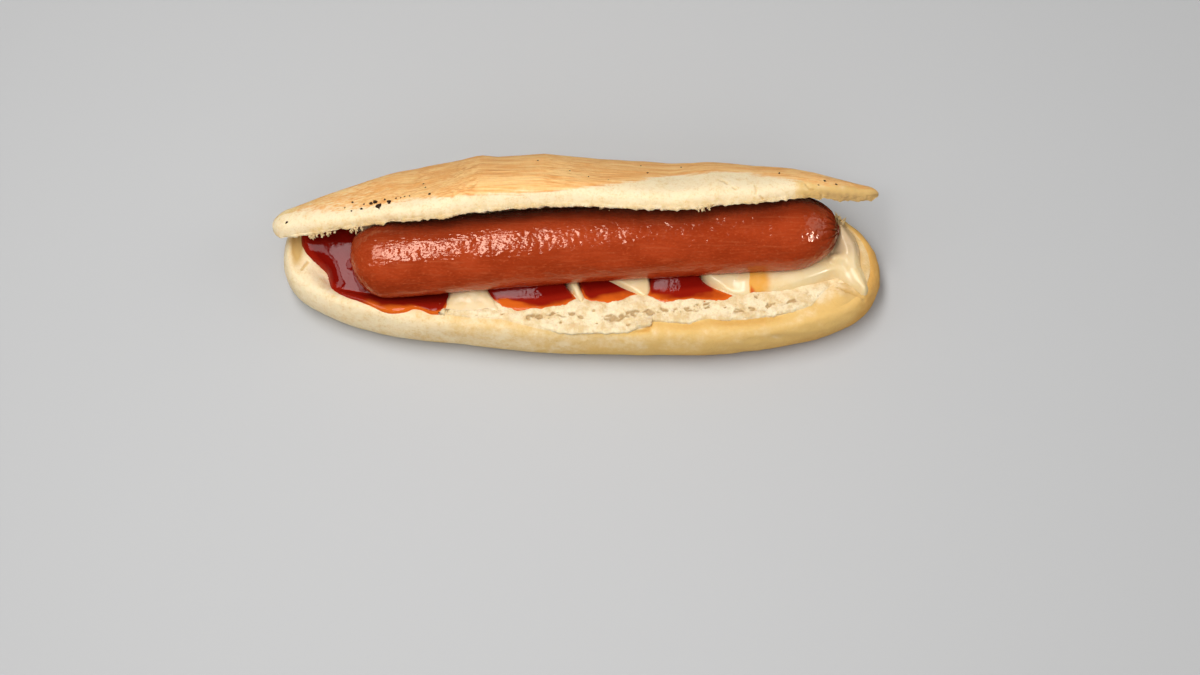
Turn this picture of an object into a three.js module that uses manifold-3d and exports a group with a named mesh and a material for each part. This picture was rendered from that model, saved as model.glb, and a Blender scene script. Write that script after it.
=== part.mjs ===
// A hot dog: a long split roll, a smooth boiled sausage lying in it, ketchup and mayonnaise.
// The lower half of the roll rests on its flat underside; the upper half leans back against it
// and hangs over the back of the sausage. Units are millimetres and +Z points up.
// The roll runs along X, its open side faces -Y, and its joined side is at +Y.

import * as THREE from "three";
import { mergeVertices } from "three/addons/utils/BufferGeometryUtils.js";
import Module from "manifold-3d";

const wasm = await Module();
wasm.setup();

// ---------------------------------------------------------------- driving dimensions

const GAP = 0.3; // clearance between neighbours that touch

// From the middle of the lower half's outline to the middle of the whole object's box.
const BOX_MIDDLE = new THREE.Vector3(1.75, 2.5, 0);

// Lower half of the roll
const BASE_MIDDLE_X = 1.9;
const BASE_HALF_LENGTH = 117.6;
const BASE_HALF_WIDTH = 34.8;
const BASE_SKEW = -0.034; // the centreline drifts towards -Y as X grows
const BASE_BULGE_HEIGHT = 10; // the roll is widest here
const BASE_RIM_HEIGHT = 21.5;
const BASE_RIM_DROP_LEFT = 2.2; // the rim sinks towards each end
const BASE_RIM_DROP_RIGHT = 1.2;
const BASE_DROP_LEFT_OVER = [50, 115]; // how far from the middle it starts and stops sinking
const BASE_DROP_RIGHT_OVER = [60, 118];
const BASE_FOOT_INSET = 10; // how far the flat underside stays inside the widest outline
const BASE_RIM_INSET = 4; // the crust leans in towards the rim
const BASE_BACK_LEAN = 0.35; // but leans in less at the back, where the halves meet
const BASE_SPINE_SHARE = 0.94; // length of the line where the two sides of the cut face meet
const LEFT_END_SHAPE = { power: 2.5, root: 0.4 }; // a tapered end
const RIGHT_END_SHAPE = { power: 3.2, root: 0.45 }; // a fuller end

// The crust's profile from the flat underside up to the rim
const CRUST_PROFILE = [
  { inset: BASE_FOOT_INSET, height: 0 },
  { inset: 5.2, height: 1.6 },
  { inset: 1.6, height: 5 },
  { inset: 0, height: BASE_BULGE_HEIGHT },
  { inset: 0.9, height: 15 },
  { inset: 2.4, height: 18.6 },
  { inset: BASE_RIM_INSET, height: BASE_RIM_HEIGHT },
];

// Trough that the sausage lies in
const TROUGH_DEPTH = 7.6;
const TROUGH_EXTRA_AT_ENDS = 1.5; // room for sauce under both ends of the sausage
const TROUGH_EXTRA_OVER = [30, 62]; // how far from the middle it gets that much deeper
const TROUGH_FLAT = 3; // half-width of its floor
const TROUGH_HALF_WIDTH = 24;
const TROUGH_DEPTH_AT_ENDS = 0.06; // share of its depth that is left at both ends of the roll
const TROUGH_LEFT_FADE = [-109, -89]; // X over which it gets shallow on the left
const TROUGH_RIGHT_FADE = [114, 98]; // and on the right

// Sausage
const SAUSAGE_LEFT_X = -86;
const SAUSAGE_RIGHT_X = 101.5;
const SAUSAGE_RADIUS = 14.7;
const SAUSAGE_LEFT_DOME = { length: 15.5, bluntness: 0.4 }; // a blunt round end
const SAUSAGE_RIGHT_DOME = { length: 19, bluntness: 0.39 }; // and a rounder one
const SAUSAGE_HEIGHT = 28.9; // of its axis
const SAUSAGE_Y = 2.0; // of its axis in the middle of its length
const SAUSAGE_SLOPE = 0.075; // it lies turned by about 4 degrees
const SAUSAGE_BOW = 1.4; // it bows back a little
const TIE_LENGTH = 1.8; // the twisted skin at the right end
const TIE_RADIUS = 2.4;
const TIE_NECK = 0.2; // length of its even stretch
const TIE_TAPER = 0.55; // width of its end, as a share of its own

// Upper half of the roll
const LID_LEFT_X = -115;
const LID_RIGHT_X = 114.5;
const LID_WIDTH = 40; // of its cut face
const LID_LEFT_WIDTH = 8; // it ends bluntly on the left
const LID_TIP_WIDTH = 3.5; // and in a thin tip on the right
const LID_LEFT_TAPER = 84; // length over which it narrows to each end
const LID_RIGHT_TAPER = 100;
const LID_LEFT_SLIMNESS = 1.35; // above 1, the left end narrows sooner
const LID_EDGE_HEIGHT = 50.8; // of the front edge, in the middle
const LID_EDGE_Y = 7.2;
const LID_SLOPE = 0.02;
const LID_DROOP_LEFT = 26; // the left end hangs down onto the lower half
const LID_DROOP_RIGHT = 12;
const LID_DROOP_FROM_LEFT = 30; // where each end starts to droop, from the middle
const LID_DROOP_FROM_RIGHT = 45;
const LID_DROOP_CURVE = { left: 1.6, right: 1.5 }; // above 1, an end droops more towards its tip
const LID_PULL_LEFT = 2.8;
const LID_PULL_RIGHT = 7.5; // the right end is drawn back
const LID_TILT = THREE.MathUtils.degToRad(45); // of the cut face in the middle
const LID_TILT_LEFT = THREE.MathUtils.degToRad(24);
const LID_SIDE = 9.2; // height of the crust's side
const LID_CROWN = 3.6; // pressed almost flat
const LID_SIDE_LEFT = 7;
const LID_SIDE_TIP = 2.6;
const LID_CRUMB_SWELL = 4.2; // the crumb swells out of the cut face
const LID_SIDE_BULGE = 0.6; // the crust's side bulges out past the cut face
const LID_SHOULDER = 2.2; // rounding between the crust's side and its crown
const LID_LEFT_CAP = { length: 1, share: 0.72 }; // the smaller section that closes each end
const LID_RIGHT_CAP = { length: 0.8, share: 0.5 };

// Sauces
const SAUCE_LEVEL = 20.6;
const SAUCE_RIM = 0.9; // thickness at a puddle's edge
const SAUCE_ROOT = 1.5; // how deep a puddle starts in the crumb before it is cut to it
const SAUCE_END_WIDTH = 0.3; // width of a puddle's ends, as a share of its own
const SAUCE_UNDER_SAUSAGE = 7.5; // how near to the sausage's axis the front puddles reach
const SAUCE_WAVE = { height: 0.6, turn: 0.35 }; // the front edge of the small puddles wavers

// The big puddle of ketchup: its X limits, its level, and how its edges run round the sausage
const POOL = { from: -107, to: -50, level: 19.8, tipY: 5, spread: 28, run: 40, backY: 12, tuck: [-90, -72] };

// The ribbon of mayonnaise: its X limits, its level, and where its edges bend up at the right end
const RIBBON = {
  from: 61.4, to: 113, level: 21.6, frontY: -18.5, tipY: -10, bend: 84, backY: 9, spill: [88, 104],
};

// ---------------------------------------------------------------- materials

const finish = (color, roughness) => new THREE.MeshStandardMaterial({ color, roughness, metalness: 0 });
const crustFinish = finish(0xecc98a, 0.75);
const toastFinish = finish(0xf0b672, 0.7);
const sausageFinish = finish(0xa8432a, 0.3);
const ketchupFinish = finish(0x8e1a0c, 0.2);
const mayonnaiseFinish = finish(0xf8e3b2, 0.3);

// ---------------------------------------------------------------- shared shapes

const clamp01 = (value) => THREE.MathUtils.clamp(value, 0, 1);
const mix = THREE.MathUtils.lerp;
const smooth = (from, to, value) => THREE.MathUtils.smoothstep(value, from, to);

// The points of a row of closed rings of equal length, and the triangles between them.
function tube(rings) {
  const perRing = rings[0].length;
  const positions = rings.flat().flatMap((p) => [p.x, p.y, p.z]);
  const index = [];
  for (let r = 0; r + 1 < rings.length; r += 1) {
    for (let k = 0; k < perRing; k += 1) {
      const a = r * perRing + k;
      const b = r * perRing + ((k + 1) % perRing);
      index.push(a, b, b + perRing, a, b + perRing, a + perRing);
    }
  }
  return { perRing, positions, index };
}

// Skins rings whose first and last have collapsed to a line, so that they need no end fans.
function zipped(rings) {
  const { positions, index } = tube(rings);
  return closedGeometry(positions, index);
}

// Skins rings and closes each end by a fan to its middle.
function skin(rings) {
  const { perRing, positions, index } = tube(rings);
  const fan = (ring, start, flip) => {
    const middle = ring.reduce((sum, p) => sum.add(p), new THREE.Vector3()).divideScalar(perRing);
    const centre = positions.length / 3;
    positions.push(middle.x, middle.y, middle.z);
    for (let k = 0; k < perRing; k += 1) {
      const pair = [start + k, start + ((k + 1) % perRing)];
      if (flip) pair.reverse();
      index.push(centre, ...pair);
    }
  };
  fan(rings[0], 0, true);
  fan(rings.at(-1), (rings.length - 1) * perRing, false);
  return closedGeometry(positions, index);
}

// Merges shared vertices, drops triangles that collapsed, and turns the faces outwards.
function closedGeometry(positions, index) {
  const raw = new THREE.BufferGeometry();
  raw.setAttribute("position", new THREE.Float32BufferAttribute(positions, 3));
  raw.setIndex(index);
  const merged = mergeVertices(raw, 1e-3);
  const corners = Array.from(merged.index.array);
  const kept = [];
  let volume = 0;
  const [p, q, r] = [new THREE.Vector3(), new THREE.Vector3(), new THREE.Vector3()];
  for (let t = 0; t < corners.length; t += 3) {
    const [a, b, c] = corners.slice(t, t + 3);
    if (a === b || b === c || c === a) continue;
    kept.push([a, b, c]);
    p.fromBufferAttribute(merged.attributes.position, a);
    q.fromBufferAttribute(merged.attributes.position, b);
    r.fromBufferAttribute(merged.attributes.position, c);
    volume += p.dot(q.cross(r));
  }
  if (volume < 0) kept.forEach((triangle) => triangle.reverse());
  merged.setIndex(kept.flat());
  merged.computeVertexNormals();
  return merged;
}

function solidOf(geometry) {
  return new wasm.Manifold(new wasm.Mesh({
    numProp: 3,
    vertProperties: Float32Array.from(geometry.attributes.position.array),
    triVerts: Uint32Array.from(geometry.index.array),
  }));
}

// What is left of a piece when its neighbours are cut out of it.
function cutBy(geometry, ...neighbours) {
  const rest = neighbours.reduce((solid, tool) => solid.subtract(solidOf(tool)), solidOf(geometry));
  const mesh = rest.getMesh();
  return closedGeometry(Array.from(mesh.vertProperties), Array.from(mesh.triVerts));
}

// ---------------------------------------------------------------- where things lie

const centreY = (x) => BASE_SKEW * (x - BASE_MIDDLE_X);

// Half-width of the lower half's outline at x, made narrower by an inset.
function halfWidth(x, inset = 0) {
  const reach = (x - BASE_MIDDLE_X) / (BASE_HALF_LENGTH - inset);
  const { power, root } = reach < 0 ? LEFT_END_SHAPE : RIGHT_END_SHAPE;
  return (BASE_HALF_WIDTH - inset) * Math.max(0, 1 - Math.abs(reach) ** power) ** root;
}

function rimHeight(x) {
  const left = smooth(...BASE_DROP_LEFT_OVER, -x) * BASE_RIM_DROP_LEFT;
  const right = smooth(...BASE_DROP_RIGHT_OVER, x) * BASE_RIM_DROP_RIGHT;
  return BASE_RIM_HEIGHT - left - right;
}

const sausageMiddleX = (SAUSAGE_LEFT_X + SAUSAGE_RIGHT_X) / 2;
const sausageHalfLength = (SAUSAGE_RIGHT_X - SAUSAGE_LEFT_X) / 2;

function sausageAxisY(x) {
  const along = (x - sausageMiddleX) / sausageHalfLength;
  return SAUSAGE_Y + SAUSAGE_SLOPE * (x - sausageMiddleX) - SAUSAGE_BOW * along * along;
}

// Radius of the sausage at x: full along its length, domed at both ends.
function sausageRadius(x) {
  const dome = (toEnd, { length, bluntness }) => Math.sin(clamp01(toEnd / length) * Math.PI / 2) ** bluntness;
  const left = dome(x - SAUSAGE_LEFT_X, SAUSAGE_LEFT_DOME);
  const right = dome(SAUSAGE_RIGHT_X - x, SAUSAGE_RIGHT_DOME);
  return SAUSAGE_RADIUS * Math.min(left, right);
}

// Height of the cut face of the lower half at a point of its plan.
function crumbHeight(x, y) {
  const fade = smooth(...TROUGH_LEFT_FADE, x) * (1 - smooth(...TROUGH_RIGHT_FADE.toReversed(), x));
  const extra = smooth(...TROUGH_EXTRA_OVER, Math.abs(x)) * TROUGH_EXTRA_AT_ENDS;
  const depth = (TROUGH_DEPTH + extra) * mix(TROUGH_DEPTH_AT_ENDS, 1, fade);
  const away = Math.abs(y - sausageAxisY(x));
  return rimHeight(x) - depth * (1 - smooth(TROUGH_FLAT, TROUGH_HALF_WIDTH, away));
}

// ---------------------------------------------------------------- lower half of the roll

// Rings that climb the crust and cross the cut face to the spine, where the two sides meet.
function lowerHalf() {
  const around = 64;
  const [foot, ...climb] = CRUST_PROFILE;
  const rim = climb.at(-1);
  const outlinePoint = (k, { inset, height }) => {
    const angle = (k / around) * 2 * Math.PI;
    const x = BASE_MIDDLE_X + (BASE_HALF_LENGTH - inset) * Math.cos(angle);
    const lean = height > 0 ? mix(1, BASE_BACK_LEAN, smooth(0, 0.6, Math.sin(angle))) : 1;
    const side = Math.sign(Math.sin(angle).toFixed(9));
    const z = height * (rimHeight(x) / BASE_RIM_HEIGHT);
    return new THREE.Vector3(x, centreY(x) + side * halfWidth(x, inset * lean), z);
  };
  const ringOf = (place) => Array.from({ length: around }, (_, k) => place(k));
  const rings = [0.5, 1].map((share) => ringOf((k) => {
    const edge = outlinePoint(k, foot);
    return new THREE.Vector3(edge.x, mix(centreY(edge.x), edge.y, share), 0);
  }));
  climb.forEach((level) => rings.push(ringOf((k) => outlinePoint(k, level))));
  const acrossSteps = 7;
  for (let step = 1; step < acrossSteps; step += 1) {
    rings.push(ringOf((k) => {
      const edge = outlinePoint(k, rim);
      const y = mix(edge.y, centreY(edge.x), step / acrossSteps);
      const x = mix(edge.x, mix(BASE_MIDDLE_X, edge.x, BASE_SPINE_SHARE), step / acrossSteps);
      return new THREE.Vector3(x, y, crumbHeight(x, y));
    }));
  }
  const spine = (x, height) => new THREE.Vector3(x, centreY(x), height);
  const bottomSpine = rings[0].map((p) => spine(p.x, 0));
  const topSpine = rings.at(-1).map((p) => spine(p.x, crumbHeight(p.x, centreY(p.x))));
  return zipped([bottomSpine, ...rings, topSpine]);
}

// ---------------------------------------------------------------- upper half of the roll

// The cut face at x: its front edge, its width and its tilt, and the height of the crust on it.
function lidStation(x) {
  const left = clamp01((-x - LID_DROOP_FROM_LEFT) / (-LID_LEFT_X - LID_DROOP_FROM_LEFT));
  const right = clamp01((x - LID_DROOP_FROM_RIGHT) / (LID_RIGHT_X - LID_DROOP_FROM_RIGHT));
  const fromLeft = Math.sin(clamp01((x - LID_LEFT_X) / LID_LEFT_TAPER) * Math.PI / 2) ** LID_LEFT_SLIMNESS;
  const fromRight = Math.sin(clamp01((LID_RIGHT_X - x) / LID_RIGHT_TAPER) * Math.PI / 2);
  const fullness = Math.min(fromLeft, fromRight);
  const droopLeft = LID_DROOP_LEFT * left ** LID_DROOP_CURVE.left;
  const droopRight = LID_DROOP_RIGHT * right ** LID_DROOP_CURVE.right;
  return {
    edge: new THREE.Vector3(
      x,
      LID_EDGE_Y + LID_SLOPE * x + LID_PULL_RIGHT * right + LID_PULL_LEFT * left * left,
      LID_EDGE_HEIGHT - droopLeft - droopRight,
    ),
    width: Math.min(mix(LID_LEFT_WIDTH, LID_WIDTH, fromLeft), mix(LID_TIP_WIDTH, LID_WIDTH, fromRight)),
    tilt: mix(LID_TILT, LID_TILT_LEFT, left),
    side: Math.min(mix(LID_SIDE_LEFT, LID_SIDE, fromLeft), mix(LID_SIDE_TIP, LID_SIDE, fromRight)),
    crown: LID_CROWN * fullness,
    swell: LID_CRUMB_SWELL * fullness ** 2,
  };
}

function lidSection(x, shrink = 1) {
  const { edge, width, tilt, side, crown, swell } = lidStation(x);
  const across = new THREE.Vector3(0, Math.cos(tilt), -Math.sin(tilt));
  const outward = new THREE.Vector3(0, Math.sin(tilt), Math.cos(tilt));
  const place = (a, b) => {
    const middle = { a: width / 2, b: side / 2 };
    return edge.clone()
      .addScaledVector(across, mix(middle.a, a, shrink))
      .addScaledVector(outward, mix(middle.b, b, shrink));
  };
  const points = [];
  const crownSteps = 10;
  const sideSteps = [{ rise: 0.35, bulge: LID_SIDE_BULGE }, { rise: 0.7, bulge: LID_SIDE_BULGE / 6 }];
  points.push(place(0, 0), ...sideSteps.map(({ rise, bulge }) => place(-bulge, side * rise)));
  for (let k = 0; k <= crownSteps; k += 1) {
    const share = k / crownSteps;
    const inset = Math.min(width * 0.2, LID_SHOULDER) * (1 - Math.sin(share * Math.PI));
    const a = mix(inset, width - inset, share);
    points.push(place(a, side + crown * Math.sin(share * Math.PI)));
  }
  points.push(...sideSteps.toReversed().map(({ rise, bulge }) => place(width + bulge, side * rise)));
  points.push(place(width, 0));
  const crumbSteps = 8;
  for (let k = 1; k < crumbSteps; k += 1) {
    const share = k / crumbSteps;
    points.push(place(mix(width, 0, share), -swell * Math.sin(share * Math.PI)));
  }
  return points;
}

function upperHalf() {
  const stations = 32;
  const rings = [lidSection(LID_LEFT_X - LID_LEFT_CAP.length, LID_LEFT_CAP.share)];
  for (let k = 0; k <= stations; k += 1) {
    const share = (1 - Math.cos((k / stations) * Math.PI)) / 2;
    rings.push(lidSection(mix(LID_LEFT_X, LID_RIGHT_X, share)));
  }
  rings.push(lidSection(LID_RIGHT_X + LID_RIGHT_CAP.length, LID_RIGHT_CAP.share));
  return skin(rings);
}

// ---------------------------------------------------------------- sausage

function sausage(clearance = 0) {
  const stations = 34;
  const around = 28;
  const circle = (x, radius) => Array.from({ length: around }, (_, k) => {
    const angle = (k / around) * 2 * Math.PI;
    const y = sausageAxisY(x) + (radius + clearance) * Math.cos(angle);
    return new THREE.Vector3(x, y, SAUSAGE_HEIGHT + (radius + clearance) * Math.sin(angle));
  });
  const rings = clearance > 0 ? [circle(SAUSAGE_LEFT_X - clearance, 0)] : [];
  for (let k = 1; k < stations; k += 1) {
    const share = (1 - Math.cos((k / stations) * Math.PI)) / 2;
    const x = mix(SAUSAGE_LEFT_X, SAUSAGE_RIGHT_X, share);
    rings.push(circle(x, sausageRadius(x)));
  }
  rings.push(circle(SAUSAGE_RIGHT_X + TIE_NECK, TIE_RADIUS));
  rings.push(circle(SAUSAGE_RIGHT_X + TIE_LENGTH + clearance, TIE_RADIUS * TIE_TAPER));
  return skin(rings);
}

// ---------------------------------------------------------------- sauces

// The crumb and the sausage, each grown by the gap, which cut every puddle to shape.
const crumbTool = lowerHalf().translate(0, 0, GAP);
const sausageTool = sausage(GAP);

// A puddle on the cut face between two X limits. Its front and back edges are functions of x.
function puddle({ from, to, front, back, level = SAUCE_LEVEL, stations = 12, across = 7 }) {
  const rings = [];
  for (let k = 0; k <= stations; k += 1) {
    const share = (1 - Math.cos((k / stations) * Math.PI)) / 2;
    const x = mix(from, to, share);
    const spread = mix(SAUCE_END_WIDTH, 1, Math.sqrt(Math.sin(share * Math.PI)));
    const middle = (front(x) + back(x)) / 2;
    const near = mix(middle, front(x), spread);
    const far = mix(middle, back(x), spread);
    const floor = [];
    const top = [];
    for (let j = 0; j <= across; j += 1) {
      const y = mix(near, far, j / across);
      const ground = crumbHeight(x, y);
      const thin = ground + GAP + SAUCE_RIM;
      const heap = Math.sqrt(Math.sin(share * Math.PI)) * Math.sqrt(Math.sin((j / across) * Math.PI));
      floor.push(new THREE.Vector3(x, y, ground - SAUCE_ROOT));
      top.push(new THREE.Vector3(x, y, mix(thin, Math.max(level, thin), heap)));
    }
    rings.push([...floor, ...top.reverse()]);
  }
  return cutBy(skin(rings), crumbTool, sausageTool);
}

const besideSausage = (x) => sausageAxisY(x) - SAUCE_UNDER_SAUSAGE;

// The big puddle of ketchup wraps round the sausage's left end.
function ketchupPool() {
  const { from, to, level } = POOL;
  const front = (x) => {
    const share = clamp01((x - from) / POOL.run);
    return POOL.tipY - POOL.spread * (1 - (1 - share) ** 2) ** 0.8;
  };
  const back = (x) => mix(POOL.backY, besideSausage(x), smooth(...POOL.tuck, x));
  return puddle({ from, to, front, back, level, stations: 18, across: 9 });
}

// Small puddles in a row along the front of the sausage.
const frontPuddles = [
  { name: "mayonnaise_patch_left", from: -49.4, to: -33.4, reach: -22.4, material: mayonnaiseFinish },
  { name: "ketchup_patch_left", from: -33, to: 0.6, reach: -22.6, material: ketchupFinish },
  { name: "mayonnaise_wedge", from: 1, to: 4.6, reach: -17.6, material: mayonnaiseFinish },
  { name: "ketchup_patch_middle", from: 5, to: 28.4, reach: -19.6, material: ketchupFinish },
  { name: "ketchup_patch_right", from: 28.8, to: 61, reach: -19.4, material: ketchupFinish },
];

// The ribbon of mayonnaise runs out under the sausage's right end and folds up at the rim.
function mayonnaiseRibbon() {
  const { from, to, level } = RIBBON;
  const front = (x) => mix(RIBBON.frontY, RIBBON.tipY, smooth(RIBBON.bend, to, x));
  const back = (x) => mix(besideSausage(x), RIBBON.backY, smooth(...RIBBON.spill, x));
  return puddle({ from, to, front, back, level, stations: 16, across: 9 });
}

// ---------------------------------------------------------------- assembly

const hotDog = new THREE.Group();
hotDog.position.copy(BOX_MIDDLE).negate();

function add(name, geometry, material) {
  const mesh = new THREE.Mesh(geometry, material);
  mesh.name = name;
  hotDog.add(mesh);
}

add("roll_lower_half", lowerHalf(), crustFinish);
add("roll_upper_half", upperHalf(), toastFinish);
add("sausage", sausage(), sausageFinish);
add("ketchup_pool", ketchupPool(), ketchupFinish);
for (const { name, from, to, reach, material } of frontPuddles) {
  const front = (x) => reach + SAUCE_WAVE.height * Math.sin(x * SAUCE_WAVE.turn);
  add(name, puddle({ from, to, front, back: besideSausage }), material);
}
add("mayonnaise_ribbon", mayonnaiseRibbon(), mayonnaiseFinish);

export default hotDog;
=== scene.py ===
"""A hot dog in a split roll, with ketchup and mayonnaise, laid out as an add-on and run as a script.

Shapes are worked out in millimetres on a bench whose zero lies at BENCH in the frame's
millimetres, and are moved into the frame, in metres, when they are given to a mesh.
"""

import math
from types import SimpleNamespace

import bpy
import numpy as np
from bpy.props import FloatProperty, FloatVectorProperty, PointerProperty
from mathutils import Matrix, Vector, noise
from mathutils.bvhtree import BVHTree


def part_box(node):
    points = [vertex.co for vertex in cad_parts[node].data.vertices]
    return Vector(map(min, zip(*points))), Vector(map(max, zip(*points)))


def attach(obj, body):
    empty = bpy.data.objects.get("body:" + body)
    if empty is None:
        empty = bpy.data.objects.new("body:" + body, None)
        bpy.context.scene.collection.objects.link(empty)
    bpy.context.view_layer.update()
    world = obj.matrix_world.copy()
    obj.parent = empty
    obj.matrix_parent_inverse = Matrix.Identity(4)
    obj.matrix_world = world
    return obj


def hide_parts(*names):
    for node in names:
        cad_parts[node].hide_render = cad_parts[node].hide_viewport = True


bl_info = {
    "name": "Hot Dog Maker",
    "version": (1, 0, 0),
    "blender": (4, 5, 0),
    "location": "3D View > Sidebar > Hot Dog",
    "description": "Makes the roll, sausage and sauces of a hot dog round its packed frame",
    "category": "Object",
}

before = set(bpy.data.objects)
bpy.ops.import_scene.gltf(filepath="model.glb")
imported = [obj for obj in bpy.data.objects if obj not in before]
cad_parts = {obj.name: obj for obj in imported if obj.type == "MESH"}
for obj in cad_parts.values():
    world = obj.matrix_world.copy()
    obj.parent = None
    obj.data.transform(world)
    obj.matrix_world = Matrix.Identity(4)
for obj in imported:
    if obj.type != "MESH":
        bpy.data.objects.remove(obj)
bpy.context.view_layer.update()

MM = 0.001
BENCH = np.array((1.75, 2.5, 0.0))
BODY = "root"


def box_in_mm(node):
    """Lowest and highest corner of a frame node, in bench millimetres."""
    low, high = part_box(node)
    return np.array(low) / MM + BENCH, np.array(high) / MM + BENCH


ROLL_LOW, ROLL_HIGH = box_in_mm("roll_lower_half")
LID_LOW, LID_HIGH = box_in_mm("roll_upper_half")
SAUSAGE_LOW, SAUSAGE_HIGH = box_in_mm("sausage")

# Directions across the tilted plane on which the cut edges line up: Y and Z shares of a height.
TILT = math.radians(24)
TILT_Y = math.cos(TILT)
TILT_Z = math.sin(TILT)
# The way square to that plane, down onto the roll, and how far off a ray along it starts, in metres.
SIGHT = Vector((0, TILT_Z, -TILT_Y))
SIGHT_START = 0.1

# ---------------------------------------------------------------- driving dimensions, mm

# Lower half of the roll. An OVER pair is how far from the middle a change starts and ends. LEFT_END
# and RIGHT_END are the power and the root that set how blunt the outline is there.
ROLL_MIDDLE_X = (ROLL_LOW[0] + ROLL_HIGH[0]) / 2 + 0.15
ROLL_HALF_LENGTH = (ROLL_HIGH[0] - ROLL_LOW[0]) / 2 - 0.2
ROLL_HALF_WIDTH = 34.8
ROLL_SKEW = -0.034
FOOT_INSET = 10.0
BULGE_HEIGHT = 10.0
RIM_INSET = 5.0
RIM_HEIGHT = round(ROLL_HIGH[2], 1)
RIM_DROP_LEFT = 2.2
RIM_DROP_LEFT_OVER = (50, 115)
RIM_DROP_RIGHT = 1.2
RIM_DROP_RIGHT_OVER = (60, 118)
BACK_LEAN = 0.35
LEFT_END = (2.5, 0.4)
RIGHT_END = (3.2, 0.45)
SPINE_SHARE = 0.94

# The trough that the sausage lies in. An END pair is the X where it has run out and where it is full.
TROUGH_DEPTH = 7.6
TROUGH_EXTRA = 1.5
TROUGH_EXTRA_OVER = (30, 62)
TROUGH_FLAT = 3.0
TROUGH_HALF_WIDTH = 24.0
TROUGH_LEFT_END = (-107, -88)
TROUGH_RIGHT_END = (114, 98)

# The sausage is as thick and as high as its node. Its left end lies 0.4 mm past the node's, and its
# tie starts 2.1 mm before the node's right end. A dome is a length and how blunt it is.
SAUSAGE_LEFT_X = round(SAUSAGE_LOW[0], 1) - 0.4
SAUSAGE_RIGHT_X = round(SAUSAGE_HIGH[0], 1) - 2.1
SAUSAGE_RADIUS = round((SAUSAGE_HIGH[2] - SAUSAGE_LOW[2]) / 2, 1)
SAUSAGE_HEIGHT = round((SAUSAGE_HIGH[2] + SAUSAGE_LOW[2]) / 2, 1)
SAUSAGE_Y = 2.0
SAUSAGE_SLOPE = 0.075
SAUSAGE_BOW = 1.4
LEFT_DOME = (15.5, 0.4)
RIGHT_DOME = (19.0, 0.39)
LEFT_SKEW = 3.6
TIE_RADIUS = 2.6
TIE_LENGTH = 0.9
TIE_OVERLAP = 0.4

# Upper half of the roll. It narrows and droops towards both ends, which are rounded, and lies
# flatter at the left. Tilts are in degrees.
LID_LEFT_X = round(LID_LOW[0], 1) - 0.6
LID_RIGHT_X = round(LID_HIGH[0], 1) + 0.3
LID_LEFT_CAP_X = -111.5
LID_RIGHT_CAP_X = 112.3
LID_LEFT_OVERHANG = 1.2
LID_RIGHT_OVERHANG = 0.8
LID_WIDTH = 40.0
LID_LEFT_WIDTH = 8.0
LID_TIP_WIDTH = 3.6
LID_LEFT_TAPER = 84
LID_LEFT_SLIMNESS = 1.35
LID_RIGHT_TAPER = 100
LID_EDGE_HEIGHT = 50.8
LID_EDGE_Y = 7.2
LID_EDGE_SLOPE = 0.02
LID_LEFT_PULL = 2.8
LID_RIGHT_PULL = 7.5
LID_LEFT_DROOP = 26
LID_RIGHT_DROOP = 12
LID_DROOP_FROM_LEFT = 30
LID_DROOP_FROM_RIGHT = 45
LID_LEFT_DROOP_CURVE = 1.6
LID_RIGHT_DROOP_CURVE = 1.5
LID_TILT = 45
LID_LEFT_TILT = 24
LID_ARCH = 11.2
LID_ARCH_LEFT = 8.2
LID_ARCH_TIP = 4.0
LID_SWELL = 4.2

# The sauces: the level they settle at, their slabs, and the size of their mesh.
SAUCE_LEVEL = 20.6
SAUCE_WALL = 1.6
SAUCE_MARGIN = 1.2
SAUCE_SKIRT = 0.8
KETCHUP_MESH = 0.36
MAYONNAISE_MESH = 0.45

# The torn crumb is a slab laid over the rim, which sinks beneath it.
CRUMB_WALL = 1.5
CRUMB_SINK = 2.4

# Columns and rows of the grids that the larger pieces are made from.
LOWER_GRID = (640, 128)
CRUMB_GRID = (620, 76)
UPPER_GRID = (600, 150)
SAUSAGE_GRID = (560, 172)
GROUND_GRID = (200, 90)

# Where crumb turns to crust along the front rim: X, and Y seen across the tilted plane.
CRUST_EDGE_HEIGHT = 21.0
CRUST_EDGE = (
    (-60, 20), (-54, -16), (-51.7, -23.8), (-40.9, -25.7), (-27.9, -26.7), (-19.4, -29.0),
    (-11.4, -31.0), (-5.7, -32.3), (5.8, -32.7), (17.2, -32.3), (24.9, -30.6), (28.7, -29.0),
    (29.5, -26.9), (34.1, -27.7), (43.2, -28.2), (51.7, -26.1), (59.7, -26.9), (67.8, -26.1),
    (78.6, -24.8), (86.3, -22.3), (90.6, -20.7), (95.5, -15.4), (100.7, -11.4), (104.5, -12.1),
    (110, -12.0),
)
# How golden the crust is along the roll: X, and a share that turns brown past 1.
CRUST_GOLD = (
    (-116, 0.15), (-104, 0.02), (-88, 0.16), (-50, 0.35), (10, 0.58), (45, 0.85), (90, 0.9),
    (104, 1.05), (114, 1.35),
)
# How far the torn crumb stands over the crust at its lip, and how ragged the lip is: X, millimetres.
TORN_LIP = (
    (-52, 0.0), (-24, 0.1), (-14, 0.2), (-4, 0.35), (8, 0.5), (17, 0.8), (24, 1.0), (28.6, 1.2),
    (29.6, 0.6), (50, 0.5), (58, 0.7), (84, 0.7), (92, 0.4), (98, 0.2), (106, 0.1),
)
# Where the torn crumb runs under the sauces: X, and Y seen across the tilted plane.
CRUMB_BACK = ((-52, -17), (-46, -15), (0, -12), (48, -12), (60, -11), (80, -9), (100, -4), (106, -4))
CRUMB_LEFT_X, CRUMB_RIGHT_X = CRUMB_BACK[0][0], CRUMB_BACK[-1][0]
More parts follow.
